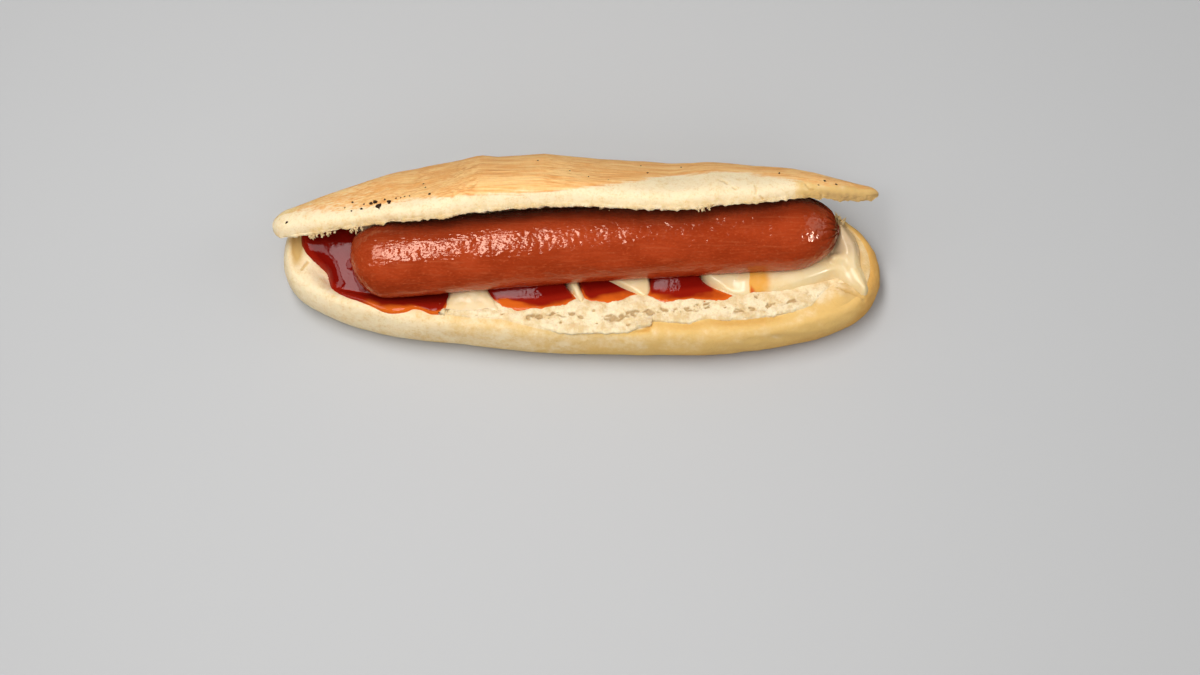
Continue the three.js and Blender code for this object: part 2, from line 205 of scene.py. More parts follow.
# Single holes in the crumb: X, Y, radius.
CRUMB_HOLES = (
    (-16.2, -25.0, 0.8), (-13.6, -25.2, 1.1), (-8.5, -23.7, 0.7), (-1.2, -23.9, 0.6), (2.3, -25.2, 0.9),
    (7.4, -22.4, 0.7), (14.6, -26.0, 1.5), (17.6, -25.0, 0.9), (21.9, -24.3, 0.8), (28.6, -23.8, 0.7),
    (-38.0, -25.0, 0.6), (-27.4, -24.2, 0.6), (8.6, -28.0, 0.5), (20.4, -28.4, 0.6), (-5.4, -27.2, 0.5),
)
# Where the crumb is torn open in rows of holes: the points of each row, and its half-width.
CRUMB_SEAMS = (
    (((-18.0, -25.2), (-12.0, -25.4), (-6.0, -24.0), (1.0, -24.4)), 1.6),
    (((12.0, -25.6), (17.0, -25.6), (23.0, -24.0), (29.0, -23.7)), 2.4),
    (((28.4, -23.0), (35.0, -23.2), (40.8, -22.4), (46.1, -21.6), (51.5, -20.4)), 1.9),
    (((57.5, -21.6), (63.0, -22.6), (68.5, -21.8)), 1.0),
    (((70.0, -16.8), (71.6, -18.8), (73.8, -20.4)), 1.6),
    (((73.8, -20.5), (80.8, -19.4), (86.9, -17.8)), 1.1),
    (((94.0, -17.0), (96.5, -15.7), (100.4, -13.6), (103.8, -11.7)), 1.5),
)

# Slits and folds in the crust near both ends: the points of each in plan.
CRUST_SLITS = (
    ((-106.4, -4.6), (-105.2, -2.9), (-103.9, -1.0)),
    ((101.6, -12.4), (105.0, -14.2), (108.5, -15.6), (111.5, -17.4)),
)
# Heights of the fine creases low on the front of the crust.
CREASE_HEIGHTS = (4.2, 5.8, 7.6)

# Where toast turns to pale crust on the lid: X, height above the front edge across the tilt.
TOAST_EDGE = (
    (-118, 5.0), (-105, 6.4), (-96, 5.4), (-87, 4.6), (-78, 4.6), (-66, 5.4), (-53, 5.8), (-45, 5.0),
    (-35, 5.1), (-27, 5.3), (-9, 5.8), (9.6, 7.8), (24, 9.2), (39, 12.0), (54, 12.2), (68, 10.0),
    (83, 7.6), (98, 4.9), (116, 2.6),
)
# Unevenness of the lid's crown: X, millimetres added to the height of its arch.
LID_CROWN = (
    (-118, -0.6), (-100, -1.6), (-85, -3.0), (-62, -3.3), (-46, -1.4), (-36, 0.9), (-28, 0.8),
    (-12, 0.4), (0, -1.2), (10, -2.2), (36, -2.8), (50, -1.4), (82, -0.6), (102, 0.0), (116, 0.0),
)
# How far the lid's front edge hangs lower than its even line: X, millimetres.
LID_DROP = (
    (-118, 2.0), (-105, 2.3), (-85, 2.5), (-72, 2.1), (-57, 2.7), (-49, 2.7), (-42, 1.6), (-27, 1.0),
    (-12, -0.3), (-4, -0.3), (10, 0.3), (24, 1.4), (39, 2.0), (54, 1.1), (62, 1.4), (69, 1.6), (77, 0.7),
    (84, 0.0), (92, 0.0), (100, 1.0), (108, 1.7), (116, 1.4),
)
# How ragged the lid's front edge is: X, millimetres of its longest shreds.
LID_TEAR = (
    (-118, 0.0), (-106, 0.1), (-103, 0.12), (-84, 0.12), (-77, 0.3), (-70, 0.3), (-52, 0.4), (-40, 0.3),
    (-20, 0.25), (16, 0.25), (30, 0.4), (45, 0.4), (48, 0.7), (51, 0.5), (54, 0.25), (80, 0.2), (96, 0.3),
    (114, 0.2),
)
# Painted shade on the crumb under the lid's front edge: X, share; past 1 it turns to the darker pore shade.
LID_EDGE_SHADE = (
    (-118, 0.0), (-106, 0.1), (-98, 0.5), (-76, 0.8), (-60, 0.65), (-40, 0.55), (-20, 0.5), (0, 0.4),
    (30, 0.4), (50, 0.5), (60, 0.45), (80, 0.6), (88, 1.6), (96, 2.1), (116, 2.1),
)
# Scorched specks on the lid: X, height across the tilt, radius.
CHAR_SPECKS = (
    (-73.9, 27.5, 1.05), (-70.1, 29.1, 0.70), (-75.6, 29.2, 0.60), (-77.2, 28.6, 0.62),
    (-80.1, 28.5, 0.36), (-80.8, 26.6, 0.42), (-84.9, 29.3, 0.38), (-87.6, 27.2, 0.32),
    (-84.8, 25.8, 0.36), (-71.9, 30.1, 0.32), (-67.6, 30.5, 0.36), (-65.7, 30.8, 0.30),
    (-64.2, 31.2, 0.30), (-62.3, 31.4, 0.26), (-57.6, 36.2, 0.32), (-56.5, 34.7, 0.26),
    (-54.4, 31.8, 0.46), (-1.9, 41.0, 0.26), (5.3, 38.6, 0.30), (12.7, 37.3, 0.26),
    (-14.2, 45.3, 0.30), (25.4, 43.7, 0.26), (27.7, 40.5, 0.36), (40.9, 43.1, 0.42),
    (77.9, 40.3, 0.28), (95.2, 37.3, 0.46), (99.5, 35.9, 0.40), (92.4, 35.6, 0.26),
    (-110.8, 21.8, 0.36),
)
# Fine cracks on the lid's pale side: the points of each, X and height across the tilt.
LID_CRACKS = (
    ((-39.6, 34.1), (-38.0, 34.7), (-36.7, 35.9)),
    ((54.7, 37.3), (56.3, 36.9), (57.4, 35.9)),
    ((67.9, 35.3), (68.4, 33.7), (68.0, 31.9)),
    ((69.8, 31.1), (70.8, 30.1)),
    ((87.3, 36.3), (88.0, 35.1), (88.8, 33.9), (90.2, 33.7)),
    ((59.4, 34.5), (60.5, 33.7)),
)
# Loose crumb that hangs from the lid: X, height across the tilt, length, width.
LID_SHREDS = (
    (-101.6, 15.2, 0.6, 0.6), (-100.2, 15.0, 0.9, 0.8), (-99.0, 15.5, 0.5, 0.5), (-96.6, 15.7, 0.7, 0.7),
    (-94.4, 15.5, 1.1, 0.7), (-93.2, 16.2, 0.6, 0.5), (-91.6, 16.3, 0.5, 0.4), (-84.4, 17.0, 1.0, 0.9),
    (-82.8, 17.4, 1.1, 0.8), (-81.2, 17.9, 0.6, 0.6), (46.2, 26.4, 0.8, 0.6), (48.4, 25.8, 1.0, 0.8),
    (50.4, 26.4, 0.7, 0.7),
)
# Upright shreds beside the sausage's tied end: X, Y, height of the middle, length, width.
UPRIGHT_SHREDS = (
    (102.4, 13.4, 26.2, 1.9, 0.9), (103.6, 12.2, 26.8, 1.6, 0.7), (101.6, 14.2, 27.8, 1.3, 0.6),
    (104.4, 13.0, 25.0, 1.3, 0.9), (103.0, 11.0, 25.0, 1.2, 0.8),
)
# Crumbs that lie on the sausage: X, Y, radius.
SAUSAGE_CRUMBS = ((-32.5, 10.4, 0.5), (10.0, 11.2, 0.7), (13.0, 10.0, 0.3))

# ---------------------------------------------------------------- outlines of the sauces, mm

POOL_OUTLINE = (
    (-106.8, 12.5), (-106.9, 8.0), (-105.4, 3.5), (-102.9, 0.5), (-99.2, -2.3), (-97.0, -4.4),
    (-96.0, -7.2), (-94.4, -11.0), (-91.5, -14.0), (-87.5, -16.3), (-82.8, -18.2), (-78.5, -20.5),
    (-74.9, -22.5), (-70.6, -23.7), (-65.3, -23.2), (-61.9, -21.8), (-58.8, -22.1), (-55.3, -23.6),
    (-51.8, -23.4), (-49.6, -21.5), (-48.4, -16.5), (-49.5, -9.0), (-70.0, -5.0), (-80.0, 4.0),
    (-84.0, 12.0), (-94.0, 16.5), (-103.0, 16.0),
)
KETCHUP_LEFT_OUTLINE = (
    (-34.5, -12.0), (-33.4, -15.8), (-30.8, -19.0), (-27.0, -21.6), (-21.1, -23.0), (-15.4, -22.6),
    (-9.6, -21.8), (-5.0, -20.9), (-1.2, -19.4), (1.2, -18.0), (-1.6, -14.0), (-3.6, -10.0),
    (-4.0, -6.0), (-18.0, -5.0), (-33.0, -6.5),
)
KETCHUP_MIDDLE_OUTLINE = (
    (1.4, -9.0), (2.4, -13.6), (3.6, -16.9), (6.0, -18.9), (11.5, -19.4), (18.1, -19.0),
    (21.8, -17.0), (24.8, -15.9), (27.4, -16.8), (29.4, -14.0), (29.4, -8.5), (28.5, -4.5),
    (14.0, -5.0), (2.0, -5.6),
)
KETCHUP_RIGHT_OUTLINE = (
    (28.6, -8.5), (28.4, -13.0), (27.2, -16.6), (30.8, -18.5), (35.4, -19.4), (40.4, -18.9),
    (45.4, -18.5), (51.1, -19.1), (56.9, -18.9), (61.8, -17.0), (60.5, -15.9), (55.6, -13.7),
    (51.6, -11.4), (49.2, -8.6), (48.0, -4.5), (30.0, -4.0),
)
MAYO_LEFT_OUTLINE = (
    (-49.3, -15.5), (-49.9, -19.5), (-49.0, -22.6), (-44.1, -23.3), (-38.4, -23.1), (-33.0, -22.6),
    (-29.6, -22.4), (-30.6, -18.0), (-33.0, -13.0), (-34.5, -7.0), (-48.5, -8.5),
)
MAYO_WEDGE_OUTLINE = (
    (-4.2, -7.0), (-3.4, -10.6), (-1.6, -14.0), (1.2, -18.0), (2.4, -19.3), (3.4, -17.0),
    (2.3, -13.0), (1.4, -9.5), (1.2, -6.5),
)
MAYO_TRIANGLE_OUTLINE = (
    (12.0, -9.6), (15.0, -11.4), (20.4, -13.9), (24.6, -16.0), (26.8, -17.0), (28.6, -15.0),
    (29.2, -12.0), (28.8, -8.0), (27.5, -5.0), (16.0, -6.5),
)
RIBBON_OUTLINE = (
    (48.4, -7.6), (50.6, -10.2), (54.4, -12.6), (60.1, -15.3), (65.5, -16.4), (71.3, -15.4),
    (77.1, -14.9), (82.9, -13.6), (88.8, -11.9), (94.7, -9.8), (100.4, -7.8), (103.5, -9.0),
    (107.2, -12.4), (111.2, -15.8), (113.0, -13.6), (112.0, -8.0), (110.4, -2.0), (110.4, 4.0),
    (108.4, 10.0), (103.5, 14.5), (98.0, 15.5), (95.0, 6.0), (84.0, 0.0), (60.0, -4.0), (49.5, -4.5),
)

# Where the ketchup has run thin and shows orange: X, Y, reach, how much of its depth is gone.
THIN_KETCHUP = (
    (-24.5, -21.5, 8.0, 0.95), (-27.5, -18.0, 4.0, 0.6), (-69.0, -23.0, 6.0, 0.4),
    (-66.0, -22.8, 4.0, 0.4), (-17.0, -22.5, 5.0, 0.6), (12.0, -18.6, 6.0, 0.5),
    (1.5, -14.0, 4.0, 0.6), (30.0, -17.5, 4.0, 0.5), (60.0, -17.0, 3.0, 0.4),
)
# Squeezed beads in the ribbon of mayonnaise: points of the line, half-width, height.
RIBBON_BEADS = (
    (((66, -12.0), (78, -11.4), (90, -8.6), (99, -5.6), (103, -2.6)), 5.0, 1.3),
    (((100.5, -1.5), (104.8, -1.8), (108.0, -6.6), (111.2, -13.6)), 2.8, 1.6),
)
# The smear that stands up behind the sausage's right end: its outline and the height of its top.
PAD_OUTLINE = ((101.0, 9.0), (103.0, 2.0), (104.5, -2.0), (107.6, -4.6), (109.6, -1.8), (109.4, 4.0),
               (106.6, 8.6), (103.6, 12.0))
PAD_HEIGHT = 25.2
SAUCE_OUTLINES = (
    POOL_OUTLINE, KETCHUP_LEFT_OUTLINE, KETCHUP_MIDDLE_OUTLINE, KETCHUP_RIGHT_OUTLINE,
    MAYO_LEFT_OUTLINE, MAYO_WEDGE_OUTLINE, MAYO_TRIANGLE_OUTLINE, RIBBON_OUTLINE,
)

# ---------------------------------------------------------------- floor, lights and camera, m

FLOOR_SIZE = 6.0
CAMERA_PLACE = (0.00785, -0.27893, 0.62172)
CAMERA_LEAN = math.radians(22)
CAMERA_SENSOR, CAMERA_LENS = 36.0, 51.0
LIGHTS_AIM = (0, 0, 0.02)
# Lights: name, place, size, power setting, share of it, shows in gloss, shows on colours.
SOFT_LIGHTS = (
    ("key_light", (-0.14, -0.06, 0.78), (0.16, 0.68), "key_power", 1.0, True, True),
    ("side_light", (0.75, 0.05, 0.55), (0.5, 0.5), "side_power", 1.0, True, True),
    ("fill_light", (0.1, -0.95, 0.75), (1.4, 0.7), "fill_power", 1.0, False, True),
    ("left_light", (-0.62, -0.1, 0.55), (0.7, 0.3), "side_power", 0.4, False, True),
    ("left_glint", (-0.46, -0.02, 0.66), (0.36, 0.48), "glint_power", 0.7, True, False),
    ("right_glint", (0.68, -0.42, 0.50), (0.11, 0.11), "glint_power", 0.6, True, False),
)

# ---------------------------------------------------------------- small shape helpers


def smooth(start, stop, value):
    """Soft step from 0 at start to 1 at stop."""
    share = np.clip((value - start) / (stop - start), 0.0, 1.0)
    return share * share * (3.0 - 2.0 * share)


def mix(a, b, share):
    return a + (b - a) * share


def along(points, x):
    """Value at x of a line through given points."""
    xs, values = zip(*points)
    return np.interp(x, xs, values)


def hill(value, centre, width):
    return np.exp(-(((value - centre) / width) ** 2))


def lumps(points, size, stretch=(1.0, 1.0, 1.0), seed=0):
    """Soft noise of about -0.6 to 0.6 at points in millimetres; size is one lump's width."""
    grid = np.asarray(points) / (np.array(stretch) * size) + 31.7 * seed
    return np.array([noise.noise(p) for p in grid.tolist()])


def pores(points, size, share=0.5, seed=0):
    """1 at the middle of a pore and 0 outside it. Only a share of the cells hold a pore."""
    points = np.asarray(points)
    shares = np.broadcast_to(share, len(points))
    warp = np.stack([lumps(points, size * 0.8, seed=seed + k) for k in (70, 71, 72)], 1)
    grid = points / size + 0.45 * warp + 17.3 * seed
    found = np.zeros(len(grid))
    for k, p in enumerate(grid.tolist()):
        distances, centres = noise.voronoi(p)
        chance = noise.cell(Vector(centres[0]) * 7.7 + Vector((0.5, 0.5, 0.5))) % 1.0
        if chance < shares[k]:
            found[k] = max(0.0, 1.0 - distances[0] / (0.22 + 0.26 * chance))
    return smooth(0.0, 0.8, found)


def height_across(points):
    """Height of points across the tilted plane, in millimetres."""
    return TILT_Y * points[:, 1] + TILT_Z * points[:, 2]


def closed_curve(points, steps=8):
    """Smooth closed curve through a few points."""
    corners = np.array(points, float)
    before, after, beyond = np.roll(corners, 1, 0), np.roll(corners, -1, 0), np.roll(corners, -2, 0)
    share = (np.arange(steps) / steps)[None, :, None]
    a, b, c, d = (part[:, None, :] for part in (before, corners, after, beyond))
    curve = 0.5 * (2 * b + (c - a) * share + (2 * a - 5 * b + 4 * c - d) * share**2
                   + (3 * b - a - 3 * c + d) * share**3)
    return curve.reshape(-1, 2)


def distance_to_line(points, line, closed=False):
    """Distance of plan points from a line of straight stretches."""
    line = np.array(line, float)
    ends = np.roll(line, -1, 0) if closed else line[1:]
    starts = line if closed else line[:-1]
    nearest = np.full(len(points), 1e9)
    for start, end in zip(starts, ends):
        run = end - start
        share = np.clip(((points - start) @ run) / (run @ run), 0, 1)
        nearest = np.minimum(nearest, np.linalg.norm(points - start - share[:, None] * run, axis=1))
    return nearest


def depth_inside(points, outline):
    """How far plan points lie inside a closed outline; negative outside it."""
    x, y = points[:, 0], points[:, 1]
    inside = np.zeros(len(points), bool)
    for (x1, y1), (x2, y2) in zip(outline, np.roll(outline, -1, 0)):
        if y1 == y2:
            continue
        crosses = (y1 > y) != (y2 > y)
        inside ^= crosses & (x < (x2 - x1) * (y - y1) / (y2 - y1) + x1)
    away = distance_to_line(points, outline, closed=True)
    return np.where(inside, away, -away)


# ---------------------------------------------------------------- where things lie


def centre_y(x):
    return ROLL_SKEW * (x - ROLL_MIDDLE_X)


def half_width(x, inset):
    """Half-width of the lower half's outline at x, made narrower by an inset."""
    reach = (x - ROLL_MIDDLE_X) / (ROLL_HALF_LENGTH - inset)
    power = np.where(reach < 0, LEFT_END[0], RIGHT_END[0])
    root = np.where(reach < 0, LEFT_END[1], RIGHT_END[1])
    return (ROLL_HALF_WIDTH - inset) * np.clip(1 - np.abs(reach) ** power, 0, 1) ** root


def rim_height(x):
    left = smooth(*RIM_DROP_LEFT_OVER, -x) * RIM_DROP_LEFT
    return RIM_HEIGHT - left - smooth(*RIM_DROP_RIGHT_OVER, x) * RIM_DROP_RIGHT


def sausage_y(x):
    middle = (SAUSAGE_LEFT_X + SAUSAGE_RIGHT_X) / 2
    share = (x - middle) / (SAUSAGE_RIGHT_X - middle)
    skew = LEFT_SKEW * (1 - (sausage_radius(x) / SAUSAGE_RADIUS) ** 2) * (x < middle)
    return SAUSAGE_Y + SAUSAGE_SLOPE * (x - middle) - SAUSAGE_BOW * share**2 + skew


def sausage_radius(x):
    """Radius of the sausage at x: full along its length, domed at both ends."""
    left = np.sin(np.clip((x - SAUSAGE_LEFT_X) / LEFT_DOME[0], 0, 1) * math.pi / 2) ** LEFT_DOME[1]
    right = np.sin(np.clip((SAUSAGE_RIGHT_X - x) / RIGHT_DOME[0], 0, 1) * math.pi / 2) ** RIGHT_DOME[1]
    return SAUSAGE_RADIUS * np.minimum(left, right)


def crumb_height(x, y):
    """Height of the cut face of the lower half at a point of its plan."""
    fade = smooth(*TROUGH_LEFT_END, x) * smooth(*TROUGH_RIGHT_END, x)
    depth = (TROUGH_DEPTH + smooth(*TROUGH_EXTRA_OVER, np.abs(x)) * TROUGH_EXTRA) * fade
    away = np.abs(y - sausage_y(x))
    return rim_height(x) - depth * (1 - smooth(TROUGH_FLAT, TROUGH_HALF_WIDTH, away))


def lower_half_points(u, v):
    """Lower half of the roll: u runs round it, v from under its middle up over the rim and in."""
    foot_v, bulge_v, rim_v = 0.06, 0.20, 0.44
    crowding = 1.3
    angle = u * 2 * math.pi
    foot = np.clip(v / foot_v, 0, 1)
    low = np.clip((v - foot_v) / (bulge_v - foot_v), 0, 1) * math.pi / 2
    high = np.clip((v - bulge_v) / (rim_v - bulge_v), 0, 1) * math.pi / 2
    inward = np.clip((v - rim_v) / (1 - rim_v), 0, 1) ** crowding
    inset = FOOT_INSET * (1 - np.sin(low)) + RIM_INSET * (1 - np.cos(high))
    height = BULGE_HEIGHT * (1 - np.cos(low)) + (RIM_HEIGHT - BULGE_HEIGHT) * np.sin(high)
    x = ROLL_MIDDLE_X + (ROLL_HALF_LENGTH - inset) * np.cos(angle)
    lean = mix(1, BACK_LEAN, smooth(0, 0.6, np.sin(angle)) * smooth(0, 3, height))
    side = np.sign(np.round(np.sin(angle), 9))
    y = centre_y(x) + side * half_width(x, inset * lean)
    spine_x = ROLL_MIDDLE_X + (x - ROLL_MIDDLE_X) * SPINE_SHARE
    x, y = mix(x, spine_x, inward), mix(y, centre_y(spine_x), inward)
    y = mix(centre_y(x), y, foot)
    height = height * rim_height(x) / RIM_HEIGHT
    height = mix(height, crumb_height(x, y), smooth(0, 0.45, inward))
    return np.stack((x, y, height), 1)


def lid_station(x):
    """The lid at x: front edge, width, tilt, arch height, crumb swell."""
    left = np.clip((-x - LID_DROOP_FROM_LEFT) / (-LID_LEFT_X - LID_DROOP_FROM_LEFT), 0, 1)
    right = np.clip((x - LID_DROOP_FROM_RIGHT) / (LID_RIGHT_X - LID_DROOP_FROM_RIGHT), 0, 1)
    from_left = np.sin(np.clip((x - LID_LEFT_X) / LID_LEFT_TAPER, 0, 1) * math.pi / 2)
    from_left = from_left**LID_LEFT_SLIMNESS
    from_right = np.sin(np.clip((LID_RIGHT_X - x) / LID_RIGHT_TAPER, 0, 1) * math.pi / 2)
    full = np.minimum(from_left, from_right)
    edge_y = LID_EDGE_Y + LID_EDGE_SLOPE * x + LID_RIGHT_PULL * right + LID_LEFT_PULL * left**2
    edge_z = LID_EDGE_HEIGHT - LID_LEFT_DROOP * left**LID_LEFT_DROOP_CURVE
    edge_z = edge_z - LID_RIGHT_DROOP * right**LID_RIGHT_DROOP_CURVE
    width = np.minimum(mix(LID_LEFT_WIDTH, LID_WIDTH, from_left),
                       mix(LID_TIP_WIDTH, LID_WIDTH, from_right))
    arch = np.minimum(mix(LID_ARCH_LEFT, LID_ARCH, from_left),
                      mix(LID_ARCH_TIP, LID_ARCH, from_right))
    tilt = np.radians(mix(LID_TILT, LID_LEFT_TILT, left))
    drop = along(LID_DROP, x)
    arch = arch + along(LID_CROWN, x)
    return edge_y - drop, edge_z, width + drop, tilt, arch, LID_SWELL * full**2


LID_FRONT_V, LID_BACK_V = 0.42, 0.70


def lid_x(u):
    """X of a lid station; stations stand closer together towards both ends."""
    spread = mix(2 * u - 1, -np.cos(math.pi * u), 0.6)
    return mix(LID_LEFT_X - LID_LEFT_OVERHANG, LID_RIGHT_X + LID_RIGHT_OVERHANG, (spread + 1) / 2)


def lid_section(u, v):
    """Place of a lid point on its section: X, share of the width, height over the cut face."""
    x = lid_x(u)
    front = np.clip(v / LID_FRONT_V, 0, 1)
    back = np.clip((v - LID_FRONT_V) / (LID_BACK_V - LID_FRONT_V), 0, 1)
    under = np.clip((v - LID_BACK_V) / (1 - LID_BACK_V), 0, 1)
    turn = math.pi / 2 * (front**2.2 + 1 - (1 - back) ** 2.2)
    across = np.where(v < LID_BACK_V, (1 - np.cos(turn)) / 2, 1 - under)
    rise = np.where(v < LID_BACK_V, np.clip(np.sin(turn), 0, 1) ** 0.45, 0.0)
    sink = np.where(v > LID_BACK_V, np.sin(under * math.pi), 0.0)
    return x, across, rise, sink


def cap(past, reach):
    """1 up to where a rounded end starts, then a quarter circle down to 0 at its reach."""
    return np.sqrt(np.clip(1 - (np.maximum(past, 0) / reach) ** 2, 0, 1))


def lid_points(u, v):
    """Upper half of the roll: u runs along it, v round its section from the lower front edge."""
    x, across, rise, sink = lid_section(u, v)
    edge_y, edge_z, width, tilt, arch, swell = lid_station(np.clip(x, LID_LEFT_X, LID_RIGHT_X))
    a = across * width
    b = rise * arch - sink * swell
    keep = cap(LID_LEFT_CAP_X - x, LID_LEFT_CAP_X - LID_LEFT_X + LID_LEFT_OVERHANG)
    keep = keep * cap(x - LID_RIGHT_CAP_X, LID_RIGHT_X + LID_RIGHT_OVERHANG - LID_RIGHT_CAP_X)
    a = mix(width / 2, a, keep)
    b = mix(arch * 0.4, b, keep)
    y = edge_y + np.cos(tilt) * a + np.sin(tilt) * b
    z = edge_z - np.sin(tilt) * a + np.cos(tilt) * b
    return np.stack((x, y, z), 1)


def sausage_points(u, v):
    """The sausage: u runs along it, v round it, and the last stretch of u is the tied end."""
    body_u = 0.965
    share = (1 - np.cos(np.clip(u / body_u, 0, 1) * math.pi)) / 2
    tail = np.clip((u - body_u) / (1 - body_u), 0, 1)
    x = mix(SAUSAGE_LEFT_X, SAUSAGE_RIGHT_X, share)
    radius = sausage_radius(x)
    tie = TIE_RADIUS * np.sqrt(np.clip(1 - tail**3, 0, 1))
    tie_x = SAUSAGE_RIGHT_X - TIE_OVERLAP + tail * (TIE_LENGTH + TIE_OVERLAP)
    at_tie = (tail > 0) | (radius < TIE_RADIUS) & (x > 0)
    x = np.where(tail > 0, tie_x, x)
    radius = np.where(at_tie, np.where(tail > 0, tie, TIE_RADIUS), radius)
    angle = v * 2 * math.pi
    y = sausage_y(x) + radius * np.cos(angle)
    return np.stack((x, y, SAUSAGE_HEIGHT + radius * np.sin(angle)), 1)


# ---------------------------------------------------------------- working with meshes


def vectors_of(items, name):
    """One vector for each vertex, as rows."""
    flat = np.empty(len(items) * 3)
    items.foreach_get(name, flat)
    return flat.reshape(-1, 3)


def corners_of(piece):
    """Vertices of a piece as bench millimetres."""
    return vectors_of(piece.data.vertices, "co") / MM + BENCH


def normals_of(piece):
    return vectors_of(piece.data.vertex_normals, "vector")


def in_frame(point):
    """A bench point as a place in the frame, in metres."""
    return Vector((np.asarray(point) - BENCH) * MM)


def lay(piece, points):
    """Puts the vertices of a piece at points given in bench millimetres."""
    piece.data.vertices.foreach_set("co", ((points - BENCH) * MM).ravel())
    piece.data.update()


def write_layers(piece, **layers):
    """Stores a number for each vertex under each name, for materials to read."""
    count = len(piece.data.vertices)
    for name, values in layers.items():
        layer = piece.data.attributes.get(name) or piece.data.attributes.new(name, "FLOAT", "POINT")
        layer.data.foreach_set("value", np.ascontiguousarray(np.broadcast_to(values, count), np.float32))


def read_layer(piece, name):
    values = np.empty(len(piece.data.vertices), np.float32)
    piece.data.attributes[name].data.foreach_get("value", values)
    return values.astype(float)


def choose(*pieces):
    """Selects pieces and nothing else, and makes the first the active one."""
    bpy.ops.object.select_all(action="DESELECT")
    for piece in pieces:
        piece.select_set(True)
    bpy.context.view_layer.objects.active = pieces[0]


def edit(piece, step):
    """Runs one edit-mode step on all of a piece."""
    choose(piece)
    bpy.ops.object.mode_set(mode="EDIT")
    bpy.ops.mesh.select_all(action="SELECT")
    step()
    bpy.ops.object.mode_set(mode="OBJECT")


def close_seams():
    bpy.ops.mesh.remove_doubles(threshold=0.02 * MM)
    bpy.ops.mesh.normals_make_consistent(inside=False)


def delete_corners(piece, chosen):
    """Deletes the chosen vertices of a piece, and the faces that use them."""
    choose(piece)
    bpy.ops.object.mode_set(mode="EDIT")
    bpy.ops.mesh.select_mode(type="VERT")
    bpy.ops.mesh.select_all(action="DESELECT")
    bpy.ops.object.mode_set(mode="OBJECT")
    piece.data.vertices.foreach_set("select", chosen)
    bpy.ops.object.mode_set(mode="EDIT")
    bpy.ops.mesh.delete(type="VERT")
    bpy.ops.object.mode_set(mode="OBJECT")


def flat_grid(name, columns, rows):
    """A grid primitive, and where its vertices lie as shares of its two sides."""
    bpy.ops.object.select_all(action="DESELECT")
    bpy.ops.mesh.primitive_grid_add(x_subdivisions=columns, y_subdivisions=rows, size=2)
    piece = bpy.context.object
    piece.name = piece.data.name = name
    return piece, (vectors_of(piece.data.vertices, "co")[:, :2] + 1) / 2


def wrapped_grid(name, grid, place):
    """A grid primitive laid over a shape by place(u, v) and closed where its edges meet."""
    piece, shares = flat_grid(name, *grid)
    u, v = shares.T
    lay(piece, place(u, v))
    write_layers(piece, u=u, v=v)
    edit(piece, close_seams)
    return piece


def drop_layers(piece, *names):
    for name in names:
        piece.data.attributes.remove(piece.data.attributes[name])


def thicken(piece, millimetres):
    """Turns an open sheet into a closed slab, away from its upper face."""
    choose(piece)
    wall = piece.modifiers.new("wall", "SOLIDIFY")
    wall.thickness = millimetres * MM
    wall.offset = -1.0
    bpy.ops.object.modifier_apply(modifier=wall.name)


def finish_piece(piece, material, slot, *nodes):
    """Shades a piece smooth, gives it its finish, ties it to the body and hides the nodes it stands for."""
    choose(piece)
    bpy.ops.object.shade_smooth()
    piece.data.materials.clear()
    piece.data.materials.append(material)
    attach(piece, BODY)
    if nodes:
        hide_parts(*nodes)


def join(name, pieces):
    choose(*pieces)
    bpy.ops.object.join()
    joined = bpy.context.object
    joined.name = joined.data.name = name
    return joined


def surface_tree(place, columns, rows):
    """A shape as a search tree for rays, made without a mesh."""
    u, v = np.meshgrid(np.linspace(0, 1, columns + 1), np.linspace(0, 1, rows + 1), indexing="ij")
    points = place(u.ravel(), v.ravel())
    step = rows + 1
    quads = [(c * step + r, (c + 1) * step + r, (c + 1) * step + r + 1, c * step + r + 1)
             for c in range(columns) for r in range(rows)]
    return BVHTree.FromPolygons(points.tolist(), quads)


# The roll's plain shape in bench millimetres, on which the sauces are laid.
ROLL_GROUND = surface_tree(lower_half_points, *GROUND_GRID)


def ground_under(plan):
    """Height at which plan points land on the roll when they fall from above, or 0 beside it."""
    down = Vector((0, 0, -1))
    heights = []
    for x, y in plan.tolist():
        hit = ROLL_GROUND.ray_cast(Vector((x, y, 120.0)), down)[0]
        heights.append(0.0 if hit is None else hit.z)
    return np.array(heights)


def first_hit(tree, point, what):
    """Where the sight line through a bench point first meets a piece, and the normal there."""
    place, normal, _, _ = tree.ray_cast(in_frame(point) - SIGHT * SIGHT_START, SIGHT)
    if place is None:
        raise RuntimeError(f"{what} misses the roll")
    return place, normal


# ---------------------------------------------------------------- materials


def srgb(red, green, blue):
    """Linear colour of an 8-bit screen colour."""
    shares = (value / 255 for value in (red, green, blue))
    return tuple(s / 12.92 if s <= 0.04045 else ((s + 0.055) / 1.055) ** 2.4 for s in shares)


class Value:
    """One output of a shader node, so that shader maths reads as an expression."""

    def __init__(self, finish, socket):
        self.finish = finish
        self.socket = socket

    def __add__(self, other):
        return self.finish.math("ADD", self, other)

    def __sub__(self, other):
        return self.finish.math("SUBTRACT", self, other)

    def __rsub__(self, other):
        return self.finish.math("SUBTRACT", other, self)

    def __mul__(self, other):
        return self.finish.math("MULTIPLY", self, other)

    __radd__ = __add__
    __rmul__ = __mul__

    def between(self, low, high):
        """0 below low, 1 above high, with a soft step between them."""
        settings = {"interpolation_type": "SMOOTHSTEP"}
        return self.finish.node("ShaderNodeMapRange", settings,
                                {"Value": self, "From Min": low, "From Max": high})


